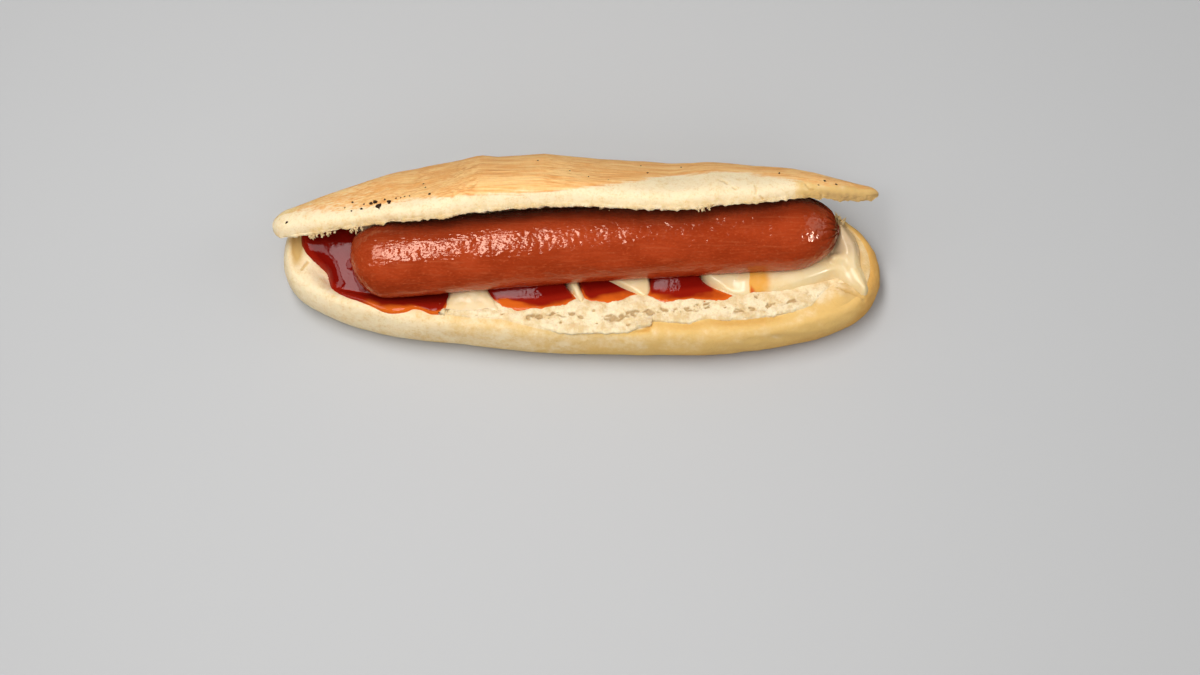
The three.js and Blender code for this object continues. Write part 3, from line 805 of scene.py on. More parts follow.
class Finish:
    """A material whose nodes are added by short calls."""

    def __init__(self, name, **constants):
        self.material = bpy.data.materials.new(name)
        self.material.use_nodes = True
        self.tree = self.material.node_tree
        self.shader = self.tree.nodes["Principled BSDF"]
        self.wire(**constants)

    def feed(self, socket, value):
        if isinstance(value, Value):
            self.tree.links.new(value.socket, socket)
        elif isinstance(value, tuple) and len(value) == 3 and socket.type == "RGBA":
            socket.default_value = (*value, 1.0)
        else:
            socket.default_value = value

    def node(self, kind, settings, inputs, output=0):
        """Adds a node: its settings first, then its sockets, then gives one of its outputs."""
        node = self.tree.nodes.new(kind)
        for name, value in settings.items():
            setattr(node, name, value)
        for name, value in inputs.items():
            self.feed(node.inputs[name], value)
        return Value(self, node.outputs[output])

    def math(self, operation, *values):
        return self.node("ShaderNodeMath", {"operation": operation}, dict(enumerate(values)))

    def blend(self, factor, first, second):
        """Colour that goes from first to second as factor goes from 0 to 1."""
        return self.node("ShaderNodeMix", {"data_type": "RGBA"}, {0: factor, 6: first, 7: second}, 2)

    def place(self, stretch):
        """Object coordinates in metres, drawn out along the axes."""
        where = self.node("ShaderNodeTexCoord", {}, {}, "Object")
        scale = tuple(1 / value for value in stretch)
        return self.node("ShaderNodeMapping", {}, {"Vector": where, "Scale": scale})

    def grain(self, size, stretch=(1.0, 1.0, 1.0), detail=3.0, roughness=0.55):
        """Noise of 0 to 1 whose lumps are size metres across."""
        return self.node("ShaderNodeTexNoise", {}, {
            "Vector": self.place(stretch), "Scale": 1 / size, "Detail": detail, "Roughness": roughness})

    def layer(self, name):
        return self.node("ShaderNodeAttribute", {"attribute_name": name}, {}, "Fac")

    def bump(self, height, distance, strength):
        inputs = {"Height": height, "Distance": distance, "Strength": strength}
        return self.node("ShaderNodeBump", {}, inputs)

    def wire(self, **sockets):
        """Gives sockets of the material's shader their values or links."""
        for socket, value in sockets.items():
            self.feed(self.shader.inputs[socket.replace("_", " ")], value)
        return self.material


def bread_finish(settings):
    """Pale to golden crust, toasted where the lid met the grill, and open crumb where it is cut."""
    made = Finish("bread", Subsurface_Weight=0.12, Subsurface_Scale=0.004,
                  Subsurface_Radius=(1.0, 0.6, 0.3), Specular_IOR_Level=0.25)
    crumb = made.layer("crumb")
    pit = made.layer("pit")
    gold = made.layer("gold")
    toast = made.layer("toast")
    shade = made.layer("shade")
    wide = made.grain(0.014, detail=4)
    fine = made.grain(0.0022, detail=4, roughness=0.65)
    tiny = made.grain(0.0007, detail=2)
    streak = made.grain(0.0007, (34, 1, 1), detail=2, roughness=0.6)
    band = made.grain(0.004, (9, 1, 1), detail=3)
    blotch = made.grain(0.005, detail=4, roughness=0.6)
    golden = (gold + (wide - 0.5) * 0.9 + (blotch - 0.5) * 1.1 + (fine - 0.5) * 0.4).between(0.0, 1.0)
    browned = (gold + (fine - 0.5) * 0.5 + (wide - 0.5) * 0.4).between(0.95, 1.5)
    crust = made.blend(golden, settings.crust_pale, settings.crust_gold)
    crust = made.blend(browned, crust, settings.crust_brown)
    crust = made.blend((fine * 0.7 + tiny * 0.4).between(0.5, 0.75) * 0.35, crust, settings.crust_gold)
    crust = made.blend((tiny + (blotch - 0.5) * 0.5).between(0.56, 0.74) * 0.2, crust, settings.crust_shade)
    grilled = (streak * 0.75 + band * 0.6 + fine * 0.25).between(0.66, 0.94)
    toasted = made.blend(grilled, settings.toast_light, settings.toast_deep)
    toasted = made.blend((streak + wide * 0.4).between(0.74, 0.98) * 0.6, toasted, settings.toast_streak)
    edge = (toast + (streak - 0.5) * 0.9 + (fine - 0.5) * 0.5).between(0.2, 0.8)
    crust = made.blend(edge, crust, toasted)
    doughy = (blotch * 0.7 + fine * 0.4 + tiny * 0.15).between(0.5, 0.78)
    soft = made.blend(doughy, settings.crumb_light, settings.crumb_deep)
    # Pores and torn seams are painted darker: painted shade in the holes.
    soft = made.blend(pit.between(0.2, 1.3) * 0.8, soft, settings.crumb_hole_shade)
    colour = made.blend(crumb, crust, soft)
    # Painted shade: the shade layer darkens towards the tan shade colour, and past 1 towards the darker pore
    # shade colour.
    colour = made.blend(shade, colour, settings.crust_shade)
    colour = made.blend((shade - 1.0) * 1.6, colour, settings.crumb_hole_shade)
    relief = fine * (0.5 + crumb * 0.8) + tiny * (0.15 + crumb * 0.5) + blotch * 0.6 + streak * toast * 0.8
    return made.wire(
        Base_Color=colour,
        Roughness=0.78 - toast * 0.12 + crumb * 0.12,
        Normal=made.bump(relief, 0.0007, 0.55),
    )


def sausage_finish(settings):
    """Taut smoked skin: red-brown, cloudy, with faint lengthwise streaks and a broken shine."""
    made = Finish("sausage_skin", Specular_IOR_Level=0.54, Specular_Tint=(1.0, 0.72, 0.56, 1.0))
    cloud = made.grain(0.009, (1.6, 1, 1), detail=5)
    lines = made.grain(0.0010, (14, 1, 1), detail=3)
    fine = made.grain(0.0007, (1.8, 1, 1), detail=1)
    pebble = made.grain(0.0011, (2.4, 1, 1), detail=1)
    dark = made.layer("dark")
    colour = made.blend((cloud * 0.8 + fine * 0.25).between(0.38, 0.64), settings.skin_deep, settings.skin)
    colour = made.blend(lines.between(0.52, 0.75) * 0.4, colour, settings.skin_pale)
    colour = made.blend(fine.between(0.58, 0.8) * 0.45, colour, settings.skin_pale)
    # Painted shade and shadow: the darkening layer turns the skin dark in the tie's folds and under the lid,
    # besides the tied end's own darker colour.
    colour = made.blend(dark + (fine - 0.5) * dark * 0.6, colour, settings.skin_dark_and_shade)
    relief = pebble * 0.75 + fine * 0.28
    return made.wire(
        Base_Color=colour,
        Roughness=0.08 + cloud * 0.11,
        Normal=made.bump(relief, 0.0008, 0.38),
    )


def ketchup_finish(settings):
    """Glossy sauce that is orange where it is thin and deep red where it pools."""
    made = Finish("ketchup", Roughness=0.035, Specular_IOR_Level=0.12,
                  Specular_Tint=(1.0, 0.85, 0.85, 1.0))
    depth = made.layer("depth")
    wide = made.grain(0.006, detail=3)
    fine = made.grain(0.0012, detail=2)
    level = depth + (wide - 0.5) * 0.5
    colour = made.blend(level.between(0.1, 0.75), settings.ketchup_thin, settings.ketchup)
    colour = made.blend(level.between(0.9, 2.6), colour, settings.ketchup_deep)
    return made.wire(Base_Color=colour, Normal=made.bump(fine + wide, 0.0004, 0.15))


def mayonnaise_finish(settings):
    """Smooth cream sauce with a soft shine, stained where ketchup ran into it."""
    made = Finish("mayonnaise", Subsurface_Weight=0.2, Subsurface_Scale=0.004,
                  Subsurface_Radius=(1.0, 0.7, 0.35), Specular_IOR_Level=0.4)
    wide = made.grain(0.007, detail=3)
    fine = made.grain(0.0011, detail=2)
    stain = made.layer("stain")
    deep = made.layer("deep")
    colour = made.blend(wide.between(0.3, 0.7), settings.mayonnaise, settings.mayonnaise_deep)
    # Painted shade: the mayonnaise at the back, behind the sausage's right end, is turned grey.
    colour = made.blend(deep, colour, settings.mayonnaise_shade)
    colour = made.blend((stain + (wide - 0.5) * stain).between(0.1, 0.9), colour, settings.stain)
    colour = made.blend((stain - 1.0).between(0.05, 0.7), colour, settings.stain_deep)
    return made.wire(
        Base_Color=colour,
        Roughness=0.20 + wide * 0.12,
        Normal=made.bump(wide + fine * 0.3, 0.0005, 0.2),
    )


def char_finish(settings):
    made = Finish("char", Specular_IOR_Level=0.15)
    fine = made.grain(0.0005, detail=2)
    colour = made.blend(fine.between(0.3, 0.7), settings.char, settings.char_brown)
    return made.wire(Base_Color=colour, Roughness=0.5 + fine * 0.3, Normal=made.bump(fine, 0.0003, 0.6))


def floor_finish(settings):
    made = Finish("floor", Roughness=0.9, Specular_IOR_Level=0.1)
    wide = made.grain(0.5, detail=2)
    lighter = tuple(min(1.0, value * 1.03) for value in settings.floor)
    return made.wire(Base_Color=made.blend(wide, settings.floor, lighter))


# ---------------------------------------------------------------- settings


def length_setting(name, description, millimetres):
    return FloatProperty(name=name, description=description, default=millimetres * MM,
                         min=0.0, subtype="DISTANCE", unit="LENGTH", precision=5)


def colour_setting(name, description, *screen):
    return FloatVectorProperty(name=name, description=description, default=srgb(*screen),
                               min=0.0, max=1.0, size=3, subtype="COLOR")


def power_setting(name, description, watts):
    return FloatProperty(name=name, description=description, default=watts, min=0.0, unit="POWER")


def plain(settings):
    """Settings with their colours as plain tuples, as shader nodes take them."""
    values = {name: getattr(settings, name) for name in settings.__annotations__}
    return SimpleNamespace(**{name: value if isinstance(value, float) else tuple(value)
                              for name, value in values.items()})


def bread_material(context):
    return bpy.data.materials.get("bread") or bread_finish(plain(context.scene.hotdog_roll))


class HotDogRoll(bpy.types.PropertyGroup):
    lip: length_setting("Torn lip", "How far the torn crumb may stand over the crust", 0.8)
    pore_depth: length_setting("Pore depth", "Depth of the larger pores in the crumb", 1.0)
    crumb_relief: length_setting("Crumb relief", "Unevenness of the torn crumb", 0.7)
    streak_depth: length_setting("Streak depth", "Relief of the toasted streaks", 0.22)
    crust_pale: colour_setting("Pale crust", "Crust that stayed light", 247, 226, 186)
    crust_gold: colour_setting("Golden crust", "Crust that took colour", 229, 187, 111)
    crust_brown: colour_setting("Brown crust", "Crust at the hot lower edge", 210, 154, 72)
    # Painted shade colour for hollows, slits, creases, cracks, the crumb under the lid's edge and the
    # shreds; also used for a faint tan speckle.
    crust_shade: colour_setting("Hollow", "Tan of the hollow at the left end", 205, 166, 100)
    toast_light: colour_setting("Light toast", "Toasted crown between its streaks", 252, 203, 134)
    toast_deep: colour_setting("Deep toast", "Toasted crown", 240, 172, 98)
    toast_streak: colour_setting("Toast streak", "Darkest streaks of the toast", 208, 132, 66)
    crumb_light: colour_setting("Crumb", "Cut and torn crumb", 248, 229, 190)
    crumb_deep: colour_setting("Crumb shade", "Crumb between its bubbles", 226, 195, 143)
    # Painted shade colour in pores and torn seams, and the darkest painted shade under the lid's right tip.
    crumb_hole_shade: colour_setting("Crumb hole", "Bottom of a pore", 176, 140, 88)
    char: colour_setting("Char", "Scorched specks", 20, 14, 8)
    char_brown: colour_setting("Brown char", "Edge of a scorched speck", 70, 44, 20)


class HotDogSausage(bpy.types.PropertyGroup):
    wrinkle: length_setting("Wrinkle", "Depth of the folds at the tied end", 0.55)
    pebbling: length_setting("Pebbling", "Depth of the fine dimples in the skin", 0.10)
    undulation: length_setting("Undulation", "Broad unevenness of the skin", 0.35)
    skin: colour_setting("Skin", "Main colour of the skin", 171, 62, 26)
    skin_deep: colour_setting("Deep skin", "Darker clouds in the skin", 155, 53, 20)
    skin_pale: colour_setting("Pale skin", "Faint streaks in the skin", 192, 94, 54)
    # Colour of the tied end, also used as painted shade in its folds and as painted shadow under the lid.
    skin_dark_and_shade: colour_setting("Dark skin", "Skin at the tied end and under the lid", 84, 24, 10)


class HotDogSauces(bpy.types.PropertyGroup):
    film: length_setting("Ketchup film", "Thickness of a spread of ketchup", 0.8)
    bead: length_setting("Mayonnaise film", "Thickness of a spread of mayonnaise", 1.3)
    ketchup: colour_setting("Ketchup", "Ketchup of middling depth", 142, 26, 12)
    ketchup_thin: colour_setting("Thin ketchup", "Ketchup at its thin edge", 214, 98, 28)
    ketchup_deep: colour_setting("Deep ketchup", "Ketchup where it pools", 118, 14, 7)
    mayonnaise: colour_setting("Mayonnaise", "Main colour of the mayonnaise", 242, 217, 172)
    mayonnaise_deep: colour_setting("Deep mayonnaise", "Mayonnaise in its hollows", 239, 207, 152)
    # Painted shade colour for the mayonnaise behind the sausage's right end.
    mayonnaise_shade: colour_setting("Grey mayonnaise", "Mayonnaise dried at its edge", 208, 178, 140)
    stain: colour_setting("Stain", "Ketchup run into mayonnaise", 236, 168, 72)
    stain_deep: colour_setting("Deep stain", "Stain next to the ketchup", 214, 98, 30)


class HotDogStage(bpy.types.PropertyGroup):
    floor: colour_setting("Floor", "Plain floor", 189, 189, 189)
    key_power: power_setting("Key power", "Power of the soft light overhead", 5.15)
    fill_power: power_setting("Fill power", "Power of the wide light in front", 2.8)
    side_power: power_setting("Side power", "Power of the light on the right", 1.3)
    glint_power: power_setting("Glint power", "Power of the lights that show only in the gloss", 6.4)
    sky: FloatProperty(name="Sky", description="Strength of the even light all round", default=0.21, min=0.0)


# ---------------------------------------------------------------- the roll


def edge_of_crust(x):
    """Height across the tilted plane at which crumb turns to crust along the front."""
    return TILT_Y * along(CRUST_EDGE, x) + TILT_Z * CRUST_EDGE_HEIGHT


def ragged_lip(x):
    """Unevenness of the torn lip along X, in millimetres."""
    line = np.stack((x, np.zeros(len(x)), np.zeros(len(x))), 1)
    coarse, fine = lumps(line, 5.5, seed=1), lumps(line, 1.5, seed=2)
    return (0.3 + 0.7 * along(TORN_LIP, x)) * (1.1 * coarse + 0.7 * fine)


def along_lines(plan, lines, reach):
    """1 on any of a few lines of plan points, and 0 from a reach away."""
    return np.max([smooth(reach, 0.1, distance_to_line(plan, line)) for line in lines], axis=0)


def slits_of_crust(points, v):
    """1 in the slits and folds of the crust near both ends."""
    plan = points[:, :2] + 0.5 * lumps(points, 1.6, seed=36)[:, None]
    return along_lines(plan, CRUST_SLITS, 0.9) * smooth(0.3, 0.36, v)


def creases_of_crust(points, front):
    """1 in the fine, broken creases low on the front of the crust."""
    x, _, z = points.T
    wave = 0.5 * lumps(points, 12, (2, 1, 1), seed=13)
    lines = np.max([smooth(0.45, 0.1, np.abs(z - height - wave)) for height in CREASE_HEIGHTS], axis=0)
    broken = smooth(0.3, 0.5, lumps(points, 5, (3, 1, 0.2), seed=14) + 0.45)
    return lines * (hill(x, -46, 22) * front * broken)


class HOTDOG_OT_lower_half(bpy.types.Operator):
    """Make the lower half of the roll, its crust and its hollowed cut face"""

    bl_idname = "hotdog.lower_half"
    bl_label = "Lower Half"

    def execute(self, context):
        piece = wrapped_grid("roll_lower", LOWER_GRID, lower_half_points)
        points, normals, v = corners_of(piece), normals_of(piece), read_layer(piece, "v")
        x, y, z = points.T
        top = smooth(0.34, 0.42, v)
        body = smooth(0.06, 0.12, v)
        past_edge = (height_across(points) - edge_of_crust(x)) / TILT_Y
        front = smooth(0, -4, y - sausage_y(x))
        ragged = lumps(points, 3.4, seed=1) * 1.1

        # Crumb shows past the torn front edge, on the rest of the cut face and round the right end.
        inner = smooth(0.455, 0.475, v + 0.02 * ragged)
        crumb = smooth(0.2, 0.9, past_edge) * front * top * mix(1, inner, smooth(98, 103, x))
        crumb = np.maximum(crumb, inner * (1 - front) * smooth(-84, -70, x))
        crumb = np.maximum(crumb, inner * smooth(98, 103, x) * smooth(-14, -9, y))
        rough = lumps(points, 4.5, seed=7) + 0.6 * lumps(points, 1.8, seed=8)
        shown = crumb * (1 - front)
        pit = np.zeros(len(points))
        open_crumb = shown > 0.02
        bread = points[open_crumb]
        pit[open_crumb] = np.maximum(pores(bread, 2.4, 0.5, seed=3) * shown[open_crumb],
                                     pores(bread, 1.6, 0.75, seed=5) * smooth(99, 103, bread[:, 0]))

        # The hollow pressed into the left end, and the slits and creases of the crust.
        slant = x + 0.12 * (y - 5)
        fold = hill(slant + 0.8 * ragged, -109.2, 2.6) * smooth(-7, 7, y + 1.2 * ragged)
        fold *= smooth(0.30, 0.44, v)
        fold *= smooth(26, 14, y)
        slit = slits_of_crust(points, v)
        creases = creases_of_crust(points, front)

        # Relief: the crust is uneven and slightly dimpled to the right, and sinks under the torn lip.
        crust = (1 - crumb) * body
        dimpled = smooth(30, 75, x)
        step = crust * (0.9 * lumps(points, 26, seed=9) + 0.25 * lumps(points, 7, (2, 1, 1), seed=10)
                        + (0.10 + 0.22 * dimpled) * lumps(points, 3.4, (1.6, 1, 1), seed=11)
                        + 0.07 * lumps(points, 1.7, seed=12))
        under_lip = along(TORN_LIP, x) * front * top
        step -= 0.3 * under_lip * hill(past_edge, -1.0, 1.1)
        step += 0.6 * rough * shown - 0.8 * pit - 1.3 * fold - 0.6 * slit - 0.3 * creases
        lay(piece, points + normals * step[:, None])

        # The crust is golden low down and towards the right. Just below the torn lip it is made more golden
        # as a painted shadow of the lip.
        low = smooth(19, 5, z)
        gold = crust * (along(CRUST_GOLD, x) + low * mix(0.10, 0.35, smooth(-80, 60, x))
                        + 0.3 * smooth(9, 2, z) * smooth(-60, 80, x))
        # Painted shadow under the torn lip, put into the gold layer.
        gold += 0.7 * under_lip * smooth(-5, -0.5, past_edge) * smooth(1, -0.5, past_edge)
        pale = smooth(-8, -1, past_edge + ragged) * smooth(70, 92, x) * smooth(114, 106, x)
        gold -= 0.6 * crust * front * pale
        end_crumb = (0.7 + 0.3 * ragged) * inner * smooth(100, 105, x)
        # The shade layer paints shade into the hollow, the slits and the creases, and darkens the crumb
        # inside the right end.
        shade = np.clip(1.9 * fold + 0.7 * slit + 0.45 * creases + end_crumb, 0, 1)
        covered = smooth(0.8, 2.4, past_edge - ragged_lip(x)) * front * top
        write_layers(piece, crumb=crumb, pit=pit, gold=gold, toast=0, shade=shade, covered=covered)
        drop_layers(piece, "u", "v")
        finish_piece(piece, bread_material(context), "crust", "roll_lower_half")
        return {"FINISHED"}


def rim_points(tree):
    """Gives a function that lays a strip over the torn front rim: u along X, v from the lip inward."""
    def place(u, v):
        x = mix(CRUMB_LEFT_X, CRUMB_RIGHT_X, u)
        lip = along(CRUST_EDGE, x) + ragged_lip(x)
        y = mix(lip, np.maximum(along(CRUMB_BACK, x), lip + 1.0), v)
        wanted = np.stack((x, y, np.full(len(x), CRUST_EDGE_HEIGHT)), 1)
        found = [first_hit(tree, point, "the torn crumb")[0] for point in wanted]
        return np.array(found) / MM + BENCH

    return place


def sink(roll, millimetres):
    """Lowers the roll where the torn crumb covers it, so that holes in the crumb stay open."""
    points, normals, covered = corners_of(roll), normals_of(roll), read_layer(roll, "covered")
    shown = smooth(CRUMB_LEFT_X, CRUMB_LEFT_X + 4, points[:, 0])
    shown *= smooth(CRUMB_RIGHT_X, CRUMB_RIGHT_X - 4, points[:, 0])
    lay(roll, points - normals * (millimetres * covered * shown)[:, None])
    drop_layers(roll, "covered")


def torn_seams(points, plan):
    """How far the crumb is torn open along its seams, and the cracks beside them, both 0 to 1."""
    torn = np.zeros(len(points))
    crack = np.zeros(len(points))
    warp = 0.8 * lumps(points, 2.6, seed=6)
    for seam, half in CRUMB_SEAMS:
        away = distance_to_line(plan, seam) + warp
        torn = np.maximum(torn, smooth(half * 1.3, half * 0.3, away))
        crack = np.maximum(crack, smooth(0.75, 0.15, np.abs(away - 0.3 * half)))
    return torn, crack * smooth(0.0, 0.22, lumps(points, 2.2, (1.4, 1, 1), seed=19))


def single_holes(points, plan):
    """1 at the middle of each listed hole."""
    holes = np.zeros(len(points))
    warp = np.stack([lumps(points, 1.8, seed=seed) for seed in (15, 16)], 1) * 0.7
    for x, y, radius in CRUMB_HOLES:
        away = np.hypot(*((plan + warp - (x, y)) * (0.8, 1.15)).T)
        holes = np.maximum(holes, smooth(radius * 1.5, radius * 0.4, away))
    return holes


class HOTDOG_OT_torn_crumb(bpy.types.Operator):
    """Lay the torn crumb along the front rim, with its holes and its ragged lip"""

    bl_idname = "hotdog.torn_crumb"
    bl_label = "Torn Crumb"

    def execute(self, context):
        settings = context.scene.hotdog_roll
        roll = bpy.data.objects["roll_lower"]
        tree = BVHTree.FromObject(roll, context.evaluated_depsgraph_get())
        piece = wrapped_grid("torn_crumb", CRUMB_GRID, rim_points(tree))
        sink(roll, CRUMB_SINK)
        if normals_of(piece)[:, 2].mean() < 0:
            edit(piece, bpy.ops.mesh.flip_normals)
        points, normals, v = corners_of(piece), normals_of(piece), read_layer(piece, "v")
        x = points[:, 0]
        across = height_across(points)
        from_lip = (across - edge_of_crust(x)) / TILT_Y - ragged_lip(x)
        plan = np.stack((x, (across - TILT_Z * CRUST_EDGE_HEIGHT) / TILT_Y), 1)
        torn, crack = torn_seams(points, plan)
        wide = pores(points, 1.9, 0.10 + 0.75 * torn, seed=3)
        small = pores(points, 1.1, 0.16 + 0.6 * torn, seed=4)
        hole = np.max((single_holes(points, plan), wide, 0.6 * small, 0.8 * crack), axis=0)
        rough = 0.9 * lumps(points, 6.0, seed=7) + 0.5 * lumps(points, 2.6, seed=8)
        grit = 0.22 * lumps(points, 1.3, seed=17) + 0.12 * lumps(points, 0.7, seed=18)
        proud = along(TORN_LIP, x)
        lip = proud * (settings.lip / MM) * smooth(4.5, 0.4, from_lip)

        # The strip fades into the roll at its ends, behind the lip and under the sauces.
        u = read_layer(piece, "u")
        ends = smooth(0, 0.03, u) * smooth(1, 0.97, u)
        ends *= mix(smooth(0.0, 3.0, from_lip), smooth(-0.6, 1.1, from_lip), smooth(0.1, 0.4, proud))
        inside = smooth(1, 0.8, v)
        for outline in SAUCE_OUTLINES:
            inside = np.minimum(inside, smooth(1.6, 0.2, depth_inside(points[:, :2], outline)))
        step = 0.45 + lip + (settings.crumb_relief / MM) * rough + grit * (0.6 + 1.2 * torn)
        step = step * ends * inside - (settings.pore_depth / MM) * hole * ends
        step -= 0.5 * (1 - ends * inside)
        lay(piece, points + normals * step[:, None])
        # Holes and torn seams are painted darker with the pore shade colour.
        pit = np.clip(1.15 * hole + 0.36 * torn, 0, 1.3)
        write_layers(piece, crumb=1, pit=pit, gold=0, toast=0, shade=0)
        drop_layers(piece, "u", "v")
        thicken(piece, CRUMB_WALL)
        finish_piece(piece, bread_material(context), "crust")
        return {"FINISHED"}


class HOTDOG_OT_upper_half(bpy.types.Operator):
    """Make the upper half of the roll with its toasted crown and torn lower edge"""

    bl_idname = "hotdog.upper_half"
    bl_label = "Upper Half"

    def execute(self, context):
        settings = context.scene.hotdog_roll
        piece = wrapped_grid("roll_upper", UPPER_GRID, lid_points)
        points, normals = corners_of(piece), normals_of(piece)
        u, v = read_layer(piece, "u"), read_layer(piece, "v")
        x = points[:, 0]
        _, across, rise, _ = lid_section(u, v)
        edge_y, edge_z, _, _, arch, _ = lid_station(np.clip(x, LID_LEFT_X, LID_RIGHT_X))
        even_edge = TILT_Y * (edge_y + along(LID_DROP, x)) + TILT_Z * edge_z
        over_edge = height_across(points) - even_edge
        outer = v < LID_BACK_V
        front = outer & (v < LID_FRONT_V)
        ragged = lumps(points, 3.0, seed=21) * 1.2 + lumps(points, 1.2, seed=22) * 0.5

        # Crumb shows on the cut face and in a narrow band over its front and back edges.
        band = 0.9 + 1.2 * smooth(80, 96, x) + 0.4 * ragged
        on_side = rise * arch
        crumb = np.where(outer, np.where(front, smooth(band + 0.3, band - 0.3, on_side), 0.0), 1.0)
        crumb = np.where(~front & outer, smooth(1.6, 0.6, on_side + ragged), crumb)
        crumb *= smooth(-116.0, -113.0, x)

        # Toast covers the crown down to its edge, in lengthwise streaks.
        streak_grid = np.stack((x / 17, across * 46, rise * 6), 1)
        streak = lumps(streak_grid, 1.0, seed=23) + 0.6 * lumps(streak_grid, 0.45, seed=24)
        fibre = 0.9 * lumps(points, 8, (3, 1, 1), seed=25) + 0.6 * lumps(points, 2.0, (10, 1, 1), seed=34)
        toast = smooth(-2.2, 1.8, over_edge - along(TOAST_EDGE, x) + fibre)
        toast *= np.where(front, 1.0, smooth(0.62, 0.80, rise)) * outer * mix(0.5, 1, smooth(-108, -52, x))
        toast *= smooth(-114, -104, x + 3 * ragged)

        fine = lumps(points, 1.8, seed=26)
        rough = lumps(points, 4.2, seed=27) + 0.6 * fine
        inside = crumb > 0.02
        pit = np.zeros(len(points))
        at_tip = smooth(96, 78, x)[inside]
        pit[inside] = np.maximum(pores(points[inside], 2.7, 0.4, seed=28) * at_tip,
                                 0.5 * pores(points[inside], 1.4, 0.5, seed=29)) * crumb[inside]

        # The front edge is torn, and shreds of it hang down across the tilt.
        near_edge = smooth(3.5, 0.5, on_side) * (front | (~outer & (across < 0.12)))
        line = np.stack((x, 0.3 * on_side, np.zeros(len(x))), 1)
        shreds = np.clip(lumps(line, 3.2, seed=30) + 0.7 * lumps(line, 1.1, seed=31) + 0.15, 0, 1)
        tear = near_edge * (0.15 + 0.25 * lumps(points, 3.6, (1.3, 1, 1), seed=30)
                            + 0.22 * lumps(points, 1.3, seed=35)) * smooth(-114, -104, x)
        hang = smooth(1.6, 0.0, on_side) * (front | (~outer & (across < 0.10)))
        hang = hang * shreds * along(LID_TEAR, x) * 2.2

        step = crumb * (settings.crumb_relief / MM) * rough * 0.9
        step += tear - (settings.pore_depth / MM) * 0.8 * pit
        step += toast * (settings.streak_depth / MM) * streak
        step += (1 - crumb) * (0.5 * lumps(points, 22, (1.6, 1, 1), seed=32)
                               + 0.12 * lumps(points, 6, (2, 1, 1), seed=33))
        flaky = hill(x, -44, 11) * smooth(45.5, 48.5, height_across(points)) * outer
        step += 0.9 * flaky * np.clip(lumps(points, 1.5, (2.2, 1, 1), seed=37) + 0.1, 0, 0.6)
        cracks = along_lines(np.stack((x, height_across(points)), 1), LID_CRACKS, 0.6)
        cracks *= front * (1 - crumb)
        step -= 0.4 * cracks
        down = np.array((0, -TILT_Y, -TILT_Z)) * hang[:, None]
        lay(piece, points + normals * step[:, None] + down)

        # The pale side is golden at the right tip; its cracks and the crumb below its torn edge are painted
        # darker as shade.
        gold = (1 - crumb) * (0.06 + 0.75 * smooth(81, 87, x + 0.5 * ragged)
                              + np.where(front, 0.15 * smooth(4, 1.5, on_side), 0.45))
        tip = smooth(80, 100, x)
        # Painted shade under the torn front edge, deepest at the right tip.
        edge_shade = along(LID_EDGE_SHADE, x) * smooth(4.4, 0.6, on_side + mix(0.5, 0.12, tip) * ragged - 1.2 * tip)
        edge_shade *= outer
        shade = np.clip(0.5 * cracks + 0.8 * edge_shade * (0.8 + mix(0.6, 0.2, tip) * fine), 0, 2)
        write_layers(piece, crumb=crumb, pit=pit, gold=gold, toast=toast, shade=shade)
        drop_layers(piece, "u", "v")
        finish_piece(piece, bread_material(context), "crust", "roll_upper_half")
        return {"FINISHED"}


class HOTDOG_OT_char_specks(bpy.types.Operator):
    """Scatter the scorched specks on the toasted crown"""

    bl_idname = "hotdog.char_specks"
    bl_label = "Char Specks"

    def execute(self, context):
        lid = bpy.data.objects["roll_upper"]
        tree = BVHTree.FromObject(lid, context.evaluated_depsgraph_get())
        flakes = []
        for number, (x, height, radius) in enumerate(CHAR_SPECKS):
            point = (x, TILT_Y * height, TILT_Z * height)
            place, normal = first_hit(tree, point, f"char speck {number}")
            flakes.append(char_flake(place, normal, radius, number))
        material = char_finish(plain(context.scene.hotdog_roll))
        finish_piece(join("char_specks", flakes), material, "toasted_crust")
        return {"FINISHED"}


def lump_piece(place, normal, sizes, roughness, seed, detail=2):
    """A small uneven lump on a surface: sizes are its half-widths and half-height in millimetres."""
    bpy.ops.object.select_all(action="DESELECT")
    bpy.ops.mesh.primitive_ico_sphere_add(subdivisions=detail, radius=1.0)
    piece = bpy.context.object
    turn = normal.to_track_quat("Z", "X")
    for vertex in piece.data.vertices:
        point = vertex.co.copy()
        swell = 1 + roughness * noise.noise(point * 1.7 + Vector((seed * 3.1, seed, 0)))
        point = Vector(size * MM * share * swell for size, share in zip(sizes, point))
        vertex.co = place + turn @ point
    return piece


def char_flake(place, normal, radius, seed):
    long = 1.0 + 0.5 * (math.sin(seed * 2.3) ** 2)
    return lump_piece(place, normal, (radius * 1.2 * long, radius, radius * 0.3), 0.9, seed)


